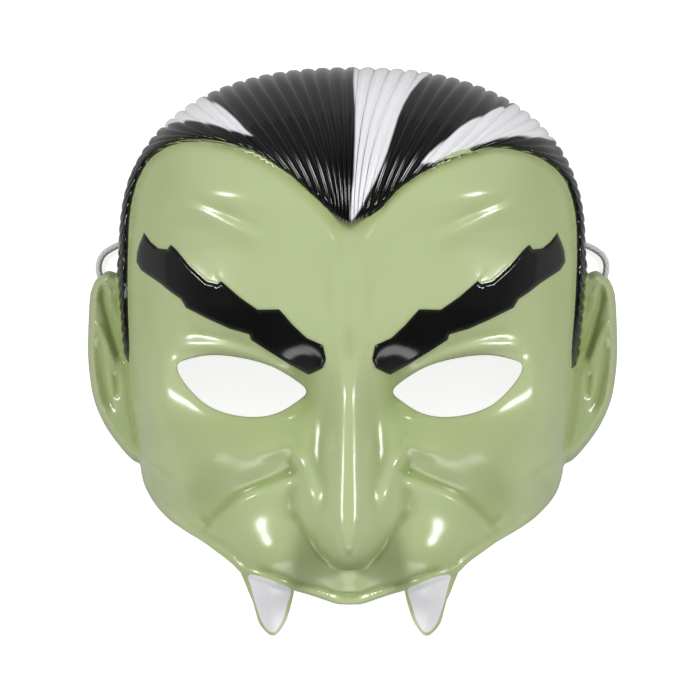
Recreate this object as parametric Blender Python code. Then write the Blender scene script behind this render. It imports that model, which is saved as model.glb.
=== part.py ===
"""A formed half mask of thin glossy plastic, its round elastic and the pads that hold the elastic.

The mask lies face up on its rim: +Z points out of the face, +Y to the top of the head.
Places on the face are shares of the face map: across, of half the head's width, and down, of
the drop from the temple line to the lip (above that line, of the crown's rise).
"""
import math

import bmesh
import bpy
import numpy as np
from mathutils import Matrix, Vector
from mathutils.bvhtree import BVHTree
from mathutils.geometry import delaunay_2d_cdt

# Driving sizes, in metres
HEAD_HALF = 0.0877
EAR_HALF = 0.1000
CROWN_RISE = 0.06865
FACE_DROP = 0.1331
FANG_DROP = 0.0117
FACE_DEPTH = 0.0740
WALL = 0.0009

NOSE_RISE = 0.0225
NOSE_HALF_WIDTH = 0.0103
NOSE_FLATNESS = 3.0
FEATURE_RISE = 0.0080
FEATURE_START = 0.35
BROW_LENGTH = 0.0722
BROW_HEIGHT = 0.0535
BROW_RELIEF = 0.0022
BROW_BEVEL = 0.0013
EYE_WIDTH = 0.0484
EYE_HEIGHT = 0.0229
EYE_ROLL = 0.0016
EAR_RELIEF = 0.0088
EAR_EDGE = (-0.0002, 0.0024)
EAR_INSET = (0.0004, 0.0022)
EAR_BLEND = 0.0040
FANG_BULGE = 0.0034
FANG_RAMP = (0.90, 0.99)

HAIR_STEP = 0.0013
HAIR_STEP_WIDTH = 0.0022
RIB_HEIGHT = 0.0011
RIBS_A_SIDE = 36

CORD_DIAMETER = 0.0024
CORD_LIFT = 0.00005
RIM_CLEARANCE = 0.0008
SEAT_GAP = 0.0003
PAD_WIDTH = 0.0050
PAD_LENGTH = 0.0080
PAD_THICKNESS = 0.0032

# How finely the sheet is faceted
FACET = 0.0057
EDGE_STEP = 0.0038
FINE_STEP = 0.0030
ROW_SPACING = 0.0009
HAIR_ROWS = (0.0, 0.12, 0.34, 0.62, 0.84, 0.95, 1.0)
EDGE_ROWS = (0.0007, 0.0019, 0.0036)
EAR_ROWS = (0.0010, 0.0026, 0.0044, 0.0066)
WALL_ROWS = (0.999, 0.985, 0.955)
MIDDLE_POINTS = 34
SLOPE_STEP = 0.0002
RIM_SLACK = 0.0008
MERGE = 0.00001

# Roundness of the head form: how square the plan of its crown and its section are
PLAN_POWER = 2.43
SECTION_POWER = 2.2

TEMPLE_Y = (FACE_DROP + FANG_DROP - CROWN_RISE - RIB_HEIGHT / 2) / 2

# Side of the head at its rim: down, share of the half width
HEAD_SIDE = (
    (0.00, 1.000), (0.07, 1.010), (0.142, 1.004), (0.27, 0.985), (0.43, 0.957), (0.57, 0.922),
    (0.61, 0.916), (0.66, 0.902), (0.71, 0.866), (0.77, 0.832), (0.88, 0.800), (1.00, 0.770), (1.15, 0.745),
)

# How square the head is across: down, power
SQUARENESS = (
    (0.00, 2.43), (0.10, 2.60), (0.20, 3.00), (0.30, 3.70), (0.45, 4.80), (0.60, 4.60), (0.80, 3.60),
    (1.00, 3.00), (1.15, 3.00),
)

# Middle of the face without its nose: down, share of the face depth
MIDLINE = (
    (0.00, 1.000), (0.25, 1.000), (0.43, 0.985), (0.60, 0.965), (0.75, 0.945), (0.86, 0.925),
    (0.93, 0.905), (1.00, 0.865), (1.12, 0.800),
)

# Nose along the middle: down, share of its rise, share of its half width
NOSE = (
    (0.02, 0.00, 0.50), (0.20, 0.04, 0.52), (0.33, 0.06, 0.50), (0.40, 0.18, 0.54), (0.50, 0.41, 0.72),
    (0.60, 0.63, 0.88), (0.70, 0.84, 1.02), (0.77, 0.97, 1.00), (0.82, 1.00, 0.84), (0.845, 0.96, 0.70),
    (0.862, 0.84, 0.58), (0.876, 0.52, 0.48), (0.888, 0.12, 0.45), (0.900, 0.00, 0.45),
)

# Rounded forms: across, down, reach across, reach down, turn in degrees, share of FEATURE_RISE
FORMS = (
    (0.560, -0.30, 0.270, 0.110, -8.0, 0.40),    # frontal boss
    (0.160, 0.21, 0.130, 0.090, -25.0, 0.26),    # inner brow ridge
    (0.455, 0.345, 0.300, 0.090, -14.0, -0.85),  # eye socket
    (0.190, 0.400, 0.080, 0.075, 0.0, -0.80),    # inner corner of the eye
    (0.880, 0.20, 0.070, 0.110, 0.0, -0.45),     # temple
    (0.830, 0.410, 0.110, 0.130, 0.0, 0.42),     # cheek bone
    (0.620, 0.480, 0.240, 0.130, 12.0, 0.42),    # cheek
    (0.610, 0.690, 0.150, 0.055, 35.0, -0.30),   # hollow beside the mouth
    (0.335, 0.865, 0.215, 0.115, 12.0, 0.90),    # muzzle
    (0.165, 0.690, 0.058, 0.085, 8.0, 0.85),     # wing of the nose
    (0.000, 0.955, 0.060, 0.050, 0.0, -0.15),    # groove over the lip
    (0.815, 0.672, 0.036, 0.030, 10.0, -0.45),   # dimple of the jaw
)

# Paths of the creases: across, down
MOUTH_FOLD = (
    (0.195, 0.604), (0.241, 0.622), (0.276, 0.636), (0.332, 0.651), (0.405, 0.668), (0.466, 0.688),
    (0.532, 0.724), (0.578, 0.753), (0.608, 0.777), (0.645, 0.800),
)
CHEEK_RIDGE = (
    (0.836, 0.400), (0.815, 0.483), (0.741, 0.545), (0.612, 0.580), (0.461, 0.585), (0.332, 0.562),
    (0.224, 0.534),
)
LID_HOLLOW = ((0.720, 0.222), (0.590, 0.238), (0.483, 0.254), (0.388, 0.278))
FOREHEAD_RIDGE = (
    (0.806, -0.202), (0.750, -0.235), (0.698, -0.229), (0.634, -0.197), (0.543, -0.147), (0.435, -0.087),
    (0.332, -0.016),
)
EAR_GROOVE = ((1.075, 0.092), (1.070, 0.131), (1.044, 0.202), (1.014, 0.270), (0.988, 0.324))
EAR_HOLLOW = ((1.113, 0.235), (1.096, 0.298), (1.075, 0.366), (1.053, 0.426), (1.036, 0.482))

# Creases: path, rise, width on the path's left, width on its right, share that fades at each end
FACE_CREASES = (
    (MOUTH_FOLD, -0.0033, 0.0060, 0.0021, 0.12),
    (CHEEK_RIDGE, 0.0018, 0.0070, 0.0090, 0.20),
    (LID_HOLLOW, -0.0011, 0.0032, 0.0032, 0.25),
    (FOREHEAD_RIDGE, 0.0012, 0.0034, 0.0028, 0.25),
)
EAR_CREASES = (
    (EAR_GROOVE, -0.0024, 0.0019, 0.0017, 0.14),
    (EAR_HOLLOW, -0.0024, 0.0030, 0.0024, 0.22),
)

# Edge of the forehead's plate: across, down
PLATE_EDGE = (
    (0.914, -0.137), (0.888, -0.300), (0.862, -0.382), (0.806, -0.475), (0.685, -0.525), (0.509, -0.515),
    (0.400, -0.465), (0.259, -0.350), (0.151, -0.213), (0.078, -0.087), (0.020, 0.010),
)
# Step up to the plate: rise, half width, reach, share of the length that fades at each end
PLATE = (0.0011, 0.0009, 0.0110, 0.08)

# Hairline: across, down
HAIRLINE = (
    (0.000, -0.120), (0.045, -0.150), (0.108, -0.213), (0.190, -0.317), (0.235, -0.366), (0.284, -0.413),
    (0.332, -0.448), (0.388, -0.486), (0.435, -0.519), (0.496, -0.544), (0.580, -0.566), (0.668, -0.571),
    (0.767, -0.546), (0.847, -0.495), (0.903, -0.415), (0.935, -0.328), (0.957, -0.190), (0.964, 0.000),
    (0.962, 0.142), (0.957, 0.270), (0.953, 0.324),
)

# Outer edge of the hair, from the temple line to the sideburn's tip: across, down
HAIR_SIDE = (
    (1.000, 0.000), (1.0055, 0.035), (1.010, 0.068), (1.003, 0.085), (0.998, 0.142), (0.989, 0.200),
    (0.983, 0.256), (0.974, 0.301), (0.962, 0.318),
)

# Where a rib ends on the rim and where it starts on the hairline, as shares of each edge's length
RIB_FLOW = (
    (0.00, 0.000), (0.08, 0.020), (0.17, 0.050), (0.24, 0.105), (0.28, 0.150), (0.32, 0.200), (0.36, 0.248),
    (0.45, 0.315), (0.49, 0.355), (0.52, 0.405), (0.58, 0.500), (0.64, 0.575), (0.75, 0.690), (0.90, 0.860),
    (1.00, 1.000),
)
RIB_BEND = 0.50
RIB_TURN = (0.05, 0.42)
RIB_CLOSENESS = 0.23
ROOT_STEP = 0.01

# Ear from its top to the notch under it: share of the ear's reach beyond the head, down
EAR = (
    (0.070, 0.068), (0.255, 0.061), (0.410, 0.060), (0.625, 0.074), (0.780, 0.088), (0.900, 0.114),
    (0.955, 0.142), (1.000, 0.227), (1.000, 0.3125), (0.890, 0.398), (0.710, 0.4545), (0.400, 0.511),
    (-0.060, 0.568), (-0.370, 0.597), (-0.540, 0.605), (-0.615, 0.611),
)
EAR_ROOT = ((0.80, 0.62), (0.80, 0.068))

# Jaw from the notch to the fang: across, down
JAW = (
    (0.912, 0.611), (0.902, 0.648), (0.885, 0.682), (0.859, 0.710), (0.820, 0.739), (0.772, 0.767),
    (0.706, 0.795), (0.630, 0.824), (0.569, 0.852), (0.509, 0.881), (0.466, 0.909),
)

# Fang and its green border: distance from the fang's middle over its half width, down
FANG_MIDDLE = 0.328
FANG_HALF_WIDTH = 0.0112
FANG = (
    (1.07, 0.909), (0.93, 0.938), (0.80, 0.966), (0.66, 0.994), (0.47, 1.051), (0.20, 1.080),
    (0.00, 1.088), (-0.17, 1.080), (-0.41, 1.051), (-0.54, 1.023), (-0.64, 0.994), (-0.71, 0.966),
)
LIP = (
    (0.236, 0.960), (0.182, 0.970), (0.139, 0.979), (0.095, 0.989), (0.052, 0.998), (0.000, 1.000),
)

# Eye hole round its middle: towards the nose over the width, up over the height
EYE_MIDDLE = (0.461, 0.386)
EYE = (
    (-0.500, 0.330), (-0.420, 0.440), (-0.227, 0.508), (0.008, 0.458), (0.242, 0.317), (0.438, 0.067),
    (0.500, -0.090), (0.438, -0.233), (0.280, -0.433), (0.100, -0.500), (-0.110, -0.440), (-0.290, -0.267),
    (-0.445, 0.067),
)

# Brow from its inner top corner: outwards over its length, down over its height
BROW_CORNER = (0.097, -0.093)
BROW = (
    (0.958, 0.000), (0.921, 0.067), (0.880, 0.113), (0.832, 0.120), (0.814, 0.085), (0.785, 0.120),
    (0.712, 0.237), (0.623, 0.346), (0.565, 0.364), (0.552, 0.336), (0.450, 0.456), (0.356, 0.544),
    (0.243, 0.541), (0.173, 0.650), (0.100, 0.742), (0.016, 0.792), (0.000, 0.898), (0.021, 0.954),
    (0.094, 1.000), (0.188, 0.929), (0.293, 0.841), (0.393, 0.756), (0.401, 0.717), (0.503, 0.678),
    (0.607, 0.615), (0.733, 0.530), (0.759, 0.470), (0.817, 0.417), (0.869, 0.360), (0.974, 0.265),
    (1.000, 0.205), (0.995, 0.134), (0.984, 0.085),
)

# Stretch of the rim that is lifted for the elastic: down at its top, down at its foot, length of each ramp
LIFT_SPAN = (-0.16, 0.16, 0.10)

# Anchor pad under the ear: share of the ear's reach beyond the head, down
PAD_PLACE = (0.300, 0.215)

# Route of the elastic from the left pad to the right pad, in metres
CORD_ROUTE = (
    (-0.0914, 0.0138, 0.0034), (-0.0921, 0.0178, 0.0031), (-0.0935, 0.0222, 0.0024),
    (-0.0950, 0.0264, 0.0016),
    (-0.0960, 0.0302, 0.00125), (-0.0957, 0.0334, 0.00125), (-0.0940, 0.0364, 0.00125),
    (-0.0908, 0.0386, 0.00125), (-0.0873, 0.0402, 0.00125), (-0.0826, 0.0424, 0.00125),
    (-0.0745, 0.0474, 0.00125), (-0.0640, 0.0548, 0.00125), (-0.0510, 0.0618, 0.00125),
    (-0.0370, 0.0645, 0.00125), (-0.0235, 0.0608, 0.00125), (-0.0115, 0.0520, 0.00125),
    (0.0005, 0.0428, 0.00125), (0.0140, 0.0372, 0.00125), (0.0290, 0.0368, 0.00125),
    (0.0430, 0.0425, 0.00125), (0.0560, 0.0505, 0.00125), (0.0680, 0.0530, 0.00125),
    (0.0775, 0.0478, 0.00125), (0.0832, 0.0424, 0.00125), (0.0875, 0.0400, 0.00125),
    (0.0910, 0.0384, 0.00125), (0.0941, 0.0362, 0.00125), (0.0958, 0.0334, 0.00125),
    (0.0960, 0.0302, 0.00125), (0.0950, 0.0264, 0.0016), (0.0935, 0.0222, 0.0024),
    (0.0921, 0.0178, 0.0031), (0.0914, 0.0138, 0.0034),
)
CORD_POINTS = 78


def clear_scene():
    """Remove every object of the scene."""
    for thing in list(bpy.data.objects):
        bpy.data.objects.remove(thing, do_unlink=True)


def make_material(name, color, roughness, metallic=0.0):
    """Return a Principled material."""
    material = bpy.data.materials.new(name)
    material.use_nodes = True
    shader = material.node_tree.nodes["Principled BSDF"]
    shader.inputs["Base Color"].default_value = (*color, 1.0)
    shader.inputs["Roughness"].default_value = roughness
    shader.inputs["Metallic"].default_value = metallic
    return material


def place(across, down):
    """Return the point of the face map at the shares across and down."""
    drop = CROWN_RISE if down < 0 else FACE_DROP
    return (across * HEAD_HALF, TEMPLE_Y - down * drop)


def down_of(y):
    """Return the shares down of the heights y."""
    below = TEMPLE_Y - y
    return np.where(below < 0, below / CROWN_RISE, below / FACE_DROP)


def ease(low, high, value):
    """Return 0 below low, 1 above high and a smooth step between."""
    t = np.clip((value - low) / (high - low), 0.0, 1.0)
    return t * t * (3 - 2 * t)


def smooth_table(rows, column, value):
    """Read a column of a table at value, on a smooth curve through its rows."""
    xs = np.array([row[0] for row in rows])
    ys = np.array([row[column] for row in rows])
    slopes = np.gradient(ys, xs)
    value = np.clip(value, xs[0], xs[-1])
    i = np.clip(np.searchsorted(xs, value) - 1, 0, len(xs) - 2)
    gap = xs[i + 1] - xs[i]
    t = (value - xs[i]) / gap
    return (
        ys[i] * (1 + 2 * t) * (1 - t) ** 2
        + slopes[i] * gap * t * (1 - t) ** 2
        + ys[i + 1] * t * t * (3 - 2 * t)
        + slopes[i + 1] * gap * t * t * (t - 1)
    )


def smooth_curve(points, closed=False, fineness=24):
    """Return a fine smooth curve through the points."""
    pts = np.array(points, float)
    if closed:
        pts = np.vstack([pts[-1:], pts, pts[:2]])
    else:
        pts = np.vstack([2 * pts[:1] - pts[1:2], pts, 2 * pts[-1:] - pts[-2:-1]])
    t = np.linspace(0, 1, fineness, endpoint=False)[:, None]
    runs = []
    for a, b, c, d in zip(pts, pts[1:], pts[2:], pts[3:]):
        curve = 2 * b + (c - a) * t + (2 * a - 5 * b + 4 * c - d) * t ** 2 + (3 * b - a - 3 * c + d) * t ** 3
        runs.append(curve / 2)
    if not closed:
        runs.append(pts[-2:-1])
    return np.vstack(runs)


def lengths_along(curve):
    """Return the share of the curve's length at each of its points."""
    steps = np.linalg.norm(np.diff(curve, axis=0), axis=1)
    along = np.concatenate([[0.0], np.cumsum(steps)])
    return along / along[-1], along[-1]


def read_curve(curve, shares):
    """Return the curve's points at the shares of its length."""
    along, _ = lengths_along(curve)
    return np.stack([np.interp(shares, along, curve[:, axis]) for axis in range(curve.shape[1])], axis=1)


def even_points(curve, step):
    """Return points a step apart along the curve, both ends included."""
    _, length = lengths_along(curve)
    return read_curve(curve, np.linspace(0, 1, max(2, round(length / step) + 1)))


def distance_to(points, path):
    """Return each point's distance to a path of straight runs."""
    best = np.full(len(points), np.inf)
    for a, b in zip(path, path[1:]):
        run = b - a
        t = np.clip(((points - a) @ run) / max(run @ run, 1e-18), 0, 1)
        best = np.minimum(best, np.linalg.norm(points - a - t[:, None] * run, axis=1))
    return best


def beside(points, path):
    """Return each point's distance to a path, positive on its left, and its share along the path."""
    starts, _ = lengths_along(path)
    best = np.full(len(points), np.inf)
    side = np.ones(len(points))
    share = np.zeros(len(points))
    for a, b, start, end in zip(path, path[1:], starts, starts[1:]):
        run = b - a
        t = np.clip(((points - a) @ run) / max(run @ run, 1e-18), 0, 1)
        off = points - a - t[:, None] * run
        away = np.linalg.norm(off, axis=1)
        closer = away < best
        best = np.where(closer, away, best)
        side = np.where(closer, np.where(run[0] * off[:, 1] - run[1] * off[:, 0] < 0, -1.0, 1.0), side)
        share = np.where(closer, start + t * (end - start), share)
    return best * side, share


def inside(points, loop):
    """Tell which points lie inside a closed loop."""
    x, y = points[:, 0], points[:, 1]
    result = np.zeros(len(points), bool)
    for (x0, y0), (x1, y1) in zip(loop, np.roll(loop, -1, axis=0)):
        crosses = (y0 > y) != (y1 > y)
        reach = (x1 - x0) * (y - y0) / (y1 - y0 if y1 != y0 else 1.0) + x0
        result ^= crosses & (x < reach)
    return result


def depth_inside(points, loop):
    """Return the distance to a loop's edge, negative outside it."""
    edge = distance_to(points, np.vstack([loop, loop[:1]]))
    return np.where(inside(points, loop), edge, -edge)


def rim_curve():
    """Return the edge of the hair, from the middle of the top over the side to the sideburn's tip."""
    turn = np.linspace(0, math.pi / 2, 160)
    across = np.sin(turn) ** (2 / PLAN_POWER)
    up = np.cos(turn) ** (2 / PLAN_POWER)
    crown = np.stack([across * HEAD_HALF, TEMPLE_Y + up * CROWN_RISE], axis=1)
    side = smooth_curve([place(*row) for row in HAIR_SIDE])
    return np.vstack([crown, side[1:]])


def ear_place(reach, down):
    """Return a point of the ear's edge."""
    x = HEAD_HALF + reach * (EAR_HALF - HEAD_HALF)
    return (x, TEMPLE_Y - down * FACE_DROP)


def fang_drop_at(down):
    """Return the height of a point of the fang, whose tip hangs FANG_DROP below the lip."""
    if down <= 1:
        return TEMPLE_Y - down * FACE_DROP
    return TEMPLE_Y - FACE_DROP - (down - 1) / (max(row[1] for row in FANG) - 1) * FANG_DROP


def fang_place(offset, down):
    """Return a point of the fang's border."""
    return (FANG_MIDDLE * HEAD_HALF + offset * FANG_HALF_WIDTH, fang_drop_at(down))


def hairline_curve():
    """Return the hairline from the widow's peak to the sideburn's tip."""
    return smooth_curve([place(*row) for row in HAIRLINE])


def ear_curve():
    """Return the ear's edge from its top to the notch."""
    return smooth_curve([ear_place(*row) for row in EAR])


def ear_region():
    """Return the ear's edge closed inside the head."""
    return np.vstack([ear_curve(), [place(*row) for row in EAR_ROOT]])


def eye_loop():
    """Return the edge of the eye hole."""
    x, y = place(*EYE_MIDDLE)
    rows = [(x - toward * EYE_WIDTH, y + up * EYE_HEIGHT) for toward, up in EYE]
    return smooth_curve(rows, closed=True, fineness=12)


def brow_loop():
    """Return the jagged outline of the brow."""
    x, y = place(*BROW_CORNER)
    return np.array([(x + out * BROW_LENGTH, y - down * BROW_HEIGHT) for out, down in BROW])


def shrink(loop, distance):
    """Return the loop moved inwards by a distance."""
    before = np.roll(loop, 1, axis=0)
    after = np.roll(loop, -1, axis=0)
    along = after - before
    along /= np.linalg.norm(along, axis=1)[:, None]
    inward = np.stack([-along[:, 1], along[:, 0]], axis=1)
    moved = loop + inward * distance
    if np.mean(inside(moved, loop)) < 0.5:
        moved = loop - inward * distance
    keep = depth_inside(moved, loop) > 0.75 * distance
    return moved[keep]


def rim_height(y):
    """Return how high the rim stands off the ground at the heights y, to let the elastic pass."""
    top, foot, ramp = LIFT_SPAN
    down = down_of(y)
    lift = CORD_DIAMETER + CORD_LIFT + RIM_CLEARANCE
    return lift * ease(top, top + ramp, down) * (1 - ease(foot - ramp, foot, down))


def head_height(x, y):
    """Return the height of the plain head form, without features."""
    down = down_of(y)
    half_width = HEAD_HALF * smooth_table(HEAD_SIDE, 1, down)
    middle = FACE_DEPTH * smooth_table(MIDLINE, 1, down)
    crown = np.clip(-down, 0, 1) ** PLAN_POWER
    side = np.clip(np.abs(x) / half_width, 0, 1) ** smooth_table(SQUARENESS, 1, down)
    base = rim_height(y)
    left_over = np.clip(1 - side - crown, 0, 1)
    return base + (middle - base) * left_over ** (1 / SECTION_POWER)


def crease_height(points, path, rise, left, right, fade):
    """Return what a ridge or a groove along a path adds at the points of the right half."""
    off, share = beside(points, smooth_curve([place(*row) for row in path], fineness=6))
    width = np.where(off > 0, left, right)
    ends = ease(0, fade, share) * ease(0, fade, 1 - share)
    return rise * np.exp(-(off / width) ** 2) * ends


def plate_height(points):
    """Return the step up to the plate of the forehead, which sinks away from its edge."""
    rise, half_width, reach, fade = PLATE
    off, share = beside(points, smooth_curve([place(*row) for row in PLATE_EDGE], fineness=6))
    ends = ease(0, fade, share) * ease(0, fade, 1 - share)
    return rise * ease(-half_width, half_width, off) * np.exp(-np.clip(off, 0, None) / reach) * ends


def feature_height(x, y):
    """Return what the rounded forms, the creases and the nose add to the head form."""
    down = down_of(y)
    across = np.abs(x) / HEAD_HALF
    rise = np.zeros_like(x)
    for middle, level, wide, tall, turn, share in FORMS:
        c, s = math.cos(math.radians(turn)), math.sin(math.radians(turn))
        out = across - middle
        low = down - level
        along = (out * c + low * s) / wide
        over = (low * c - out * s) / tall
        rise += share * FEATURE_RISE * np.exp(-along ** 2 - over ** 2)
    near = np.stack([np.abs(x), y], axis=1)
    for crease in FACE_CREASES:
        rise += crease_height(near, *crease)
    rise += plate_height(near)
    ridge = NOSE_RISE * smooth_table(NOSE, 1, down)
    half_width = NOSE_HALF_WIDTH * smooth_table(NOSE, 2, down)
    return rise + ridge * np.exp(-(np.abs(x) / half_width) ** NOSE_FLATNESS)


def ear_height(points):
    """Return the ear's relief: a rounded rim, and the groove and the hollow inside it."""
    depth = depth_inside(points, ear_region())
    relief = EAR_RELIEF * ease(*EAR_EDGE, depth)
    for crease in EAR_CREASES:
        relief += crease_height(points, *crease) * ease(*EAR_INSET, depth)
    return np.where(depth > 0, np.clip(relief, 0, None), 0.0)


def blend_up(a, b, reach):
    """Return the larger of two heights with a rounded valley between them."""
    reach = np.minimum(reach, 2 * np.minimum(a, b) + 1e-9)
    overlap = np.clip(reach - np.abs(a - b), 0, None)
    return np.maximum(a, b) + overlap ** 2 / (4 * reach)


def sheet_height(points):
    """Return the height of the sheet's outer face over the plan points, without hair or ribs."""
    x, y = np.abs(points[:, 0]), points[:, 1]
    near = np.stack([x, y], axis=1)
    base = rim_height(y)
    head = head_height(x, y) - base
    softness = ease(0.0, FEATURE_START, head / FACE_DEPTH)
    head = head + feature_height(x, y) * softness
    eye = -depth_inside(near, eye_loop())
    head -= EYE_ROLL * np.exp(-np.clip(eye, 0, None) / EYE_ROLL)
    brow = depth_inside(near, brow_loop())
    head += BROW_RELIEF * ease(0.0, BROW_BEVEL, brow)
    fang = np.clip(1 - np.abs(x - FANG_MIDDLE * HEAD_HALF) / FANG_HALF_WIDTH, 0, 1)
    head += FANG_BULGE * np.sin(fang * math.pi / 2) * ease(*FANG_RAMP, down_of(y))
    return base + blend_up(np.clip(head, 0, None), ear_height(near), EAR_BLEND)


def rib_columns():
    """Return each column's share along the rim and its side of the rib: crest 1, groove 0."""
    count = 2 * RIBS_A_SIDE
    phase = np.arange(count + 1) / count
    along = (-1 + np.sqrt(1 + 4 * RIB_CLOSENESS * (1 + RIB_CLOSENESS) * phase)) / (2 * RIB_CLOSENESS)
    return along, np.arange(count + 1) % 2


def hair_patch():
    """Return the plan points of the hair, a column along each rib, and each column's crest value."""
    rim, hairline = rim_curve(), hairline_curve()
    along, crest = rib_columns()
    roots_along = smooth_table(RIB_FLOW, 1, along)
    ends = read_curve(rim, along)
    roots = read_curve(hairline, roots_along)
    ahead = read_curve(hairline, np.clip(roots_along + ROOT_STEP, 0, 1))
    behind = read_curve(hairline, np.clip(roots_along - ROOT_STEP, 0, 1))
    tangent = ahead - behind
    tangent /= np.linalg.norm(tangent, axis=1)[:, None]
    turn = ease(*RIB_TURN, along)[:, None]
    start = np.array([[0.0, 1.0]]) * (1 - turn) + tangent * turn
    start /= np.linalg.norm(start, axis=1)[:, None]
    reach = np.linalg.norm(ends - roots, axis=1)[:, None]
    bend = roots + start * reach * RIB_BEND
    share = np.array(HAIR_ROWS)[:, None, None]
    return roots * (1 - share) ** 2 + 2 * bend * share * (1 - share) + ends * share ** 2, crest


def hair_lift(patch, crest):
    """Return how far each hair point stands off the head form: the step at the hairline and the ribs."""
    from_edge = np.linalg.norm(patch - patch[:1], axis=2)
    shares = np.array(HAIR_ROWS)[:, None]
    step = HAIR_STEP * ease(0, HAIR_STEP_WIDTH, from_edge) * (1 - shares ** 4)
    return step + RIB_HEIGHT * (crest[None, :] - 0.5) * ease(0, 2 * HAIR_STEP_WIDTH, from_edge)


def half_border(patch):
    """Return the border of the green part of the half mask, with the eye hole left aside."""
    rim_row, root_row = patch[-1], patch[0]
    ear_top = np.argmin(np.linalg.norm(rim_row - ear_place(*EAR[0]), axis=1))
    levels = np.linspace(place(0, HAIRLINE[0][1])[1], place(0, 1)[1], MIDDLE_POINTS)
    middle = np.stack([np.zeros(MIDDLE_POINTS), levels], axis=1)
    lip = even_points(smooth_curve([place(*row) for row in LIP]), EDGE_STEP)[::-1]
    fang = even_points(smooth_curve([fang_place(*row) for row in FANG]), FINE_STEP)[::-1]
    jaw = even_points(smooth_curve([place(*row) for row in JAW]), EDGE_STEP)[::-1]
    ear = even_points(ear_curve(), EDGE_STEP)[::-1]
    parts = [middle, lip[1:], fang, jaw[1:], ear[1:-1], rim_row[ear_top:], root_row[::-1]]
    loop = np.vstack(parts)
    apart = np.linalg.norm(loop - np.roll(loop, 1, axis=0), axis=1) > MERGE
    return loop[apart], ear


def rows_inside(loop, edge, distances):
    """Return points in rows at set distances inside a stretch of the border."""
    rows = []
    for distance in distances:
        along = np.gradient(edge, axis=0)
        along /= np.linalg.norm(along, axis=1)[:, None]
        side = np.stack([along[:, 1], -along[:, 0]], axis=1)
        for moved in (edge + side * distance, edge - side * distance):
            keep = depth_inside(moved, loop) > 0.9 * distance
            rows.append(moved[keep])
    return np.vstack(rows)


def thin_out(points, distance):
    """Return the points with each one dropped that lies within a distance of one kept before it."""
    kept = []
    for point in points:
        if all(math.hypot(point[0] - x, point[1] - y) > distance for x, y in kept):
            kept.append(tuple(point))
    return np.array(kept)


def crease_rows(loop):
    """Return points along the deep creases and beside them."""
    rows = []
    for path, _, left, right, _ in (*FACE_CREASES[:1], *EAR_CREASES):
        line = even_points(smooth_curve([place(*row) for row in path], fineness=6), EDGE_STEP)
        along = np.gradient(line, axis=0)
        along /= np.linalg.norm(along, axis=1)[:, None]
        side = np.stack([-along[:, 1], along[:, 0]], axis=1)
        rows += [line, line + side * left, line - side * right]
    rows = np.vstack(rows)
    return rows[depth_inside(rows, loop) > ROW_SPACING]


def wall_rows(loop):
    """Return points down the steep side of the head, beside the ear and below the sideburn."""
    downs = np.arange(HAIR_SIDE[-1][1], EAR[-1][1], EDGE_STEP / FACE_DROP)
    half_width = HEAD_HALF * smooth_table(HEAD_SIDE, 1, downs)
    rows = [np.column_stack([half_width * share, TEMPLE_Y - downs * FACE_DROP]) for share in WALL_ROWS]
    rows = np.vstack(rows)
    return rows[depth_inside(rows, loop) > 0.25 * min(EAR_ROWS)]


def face_points(loop, ear, edges):
    """Return the inner plan points of the green part of the half mask."""
    low, high = loop.min(axis=0), loop.max(axis=0)
    grid = []
    row = 0
    y = low[1]
    while y < high[1]:
        shift = 0.5 * FACET * (row % 2)
        grid += [(x, y) for x in np.arange(FACET * 0.5 + shift, high[0], FACET)]
        y += FACET * math.sqrt(3) / 2
        row += 1
    grid = np.array(grid)
    jaw = loop[(loop[:, 1] < ear[0][1]) & (loop[:, 0] > MERGE)]
    edge_rows = [rows_inside(loop, ear, EAR_ROWS), wall_rows(loop), rows_inside(loop, jaw, EDGE_ROWS)]
    rows = thin_out(np.vstack([crease_rows(loop), *edge_rows]), ROW_SPACING)
    clear = depth_inside(grid, loop) > 0.45 * FACET
    clear &= distance_to(grid, np.vstack(ear)) > EAR_ROWS[-1] + 0.4 * FACET
    for edge in edges:
        clear &= distance_to(grid, np.vstack([edge, edge[:1]])) > 0.4 * FACET
    apart = np.linalg.norm(grid[:, None, :] - rows[None, :, :], axis=2).min(axis=1)
    clear &= apart > 0.5 * FACET
    return np.vstack([rows, grid[clear]])


def triangulate(loop, holes, edges, points):
    """Return the plan points and triangles of the region inside the loop and outside the holes."""
    groups = [loop, *holes, *edges]
    flat = [Vector(p) for group in groups for p in group] + [Vector(p) for p in points]
    links = []
    start = 0
    for group in groups:
        links += [(start + i, start + (i + 1) % len(group)) for i in range(len(group))]
        start += len(group)
    verts, _, faces, *_ = delaunay_2d_cdt(flat, links, [], 0, 1e-7)
    plan = np.array([tuple(v) for v in verts])
    faces = np.array([tuple(face) for face in faces if len(face) == 3])
    middles = plan[faces].mean(axis=1)
    keep = inside(middles, loop)
    for hole in holes:
        keep &= ~inside(middles, hole)
    return plan, faces[keep]


def add_faces(bm, positions, faces):
    """Add vertices and faces to the mesh."""
    verts = [bm.verts.new(position) for position in positions]
    for face in faces:
        bm.faces.new([verts[i] for i in face])


def plan_normals(points):
    """Return the outward normals of the sheet over the plan points."""
    slope_x = sheet_height(points + (SLOPE_STEP, 0)) - sheet_height(points - (SLOPE_STEP, 0))
    slope_y = sheet_height(points + (0, SLOPE_STEP)) - sheet_height(points - (0, SLOPE_STEP))
    normals = np.stack([-slope_x, -slope_y, np.full(len(points), 2 * SLOPE_STEP)], axis=1)
    return normals / np.linalg.norm(normals, axis=1)[:, None]


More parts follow.
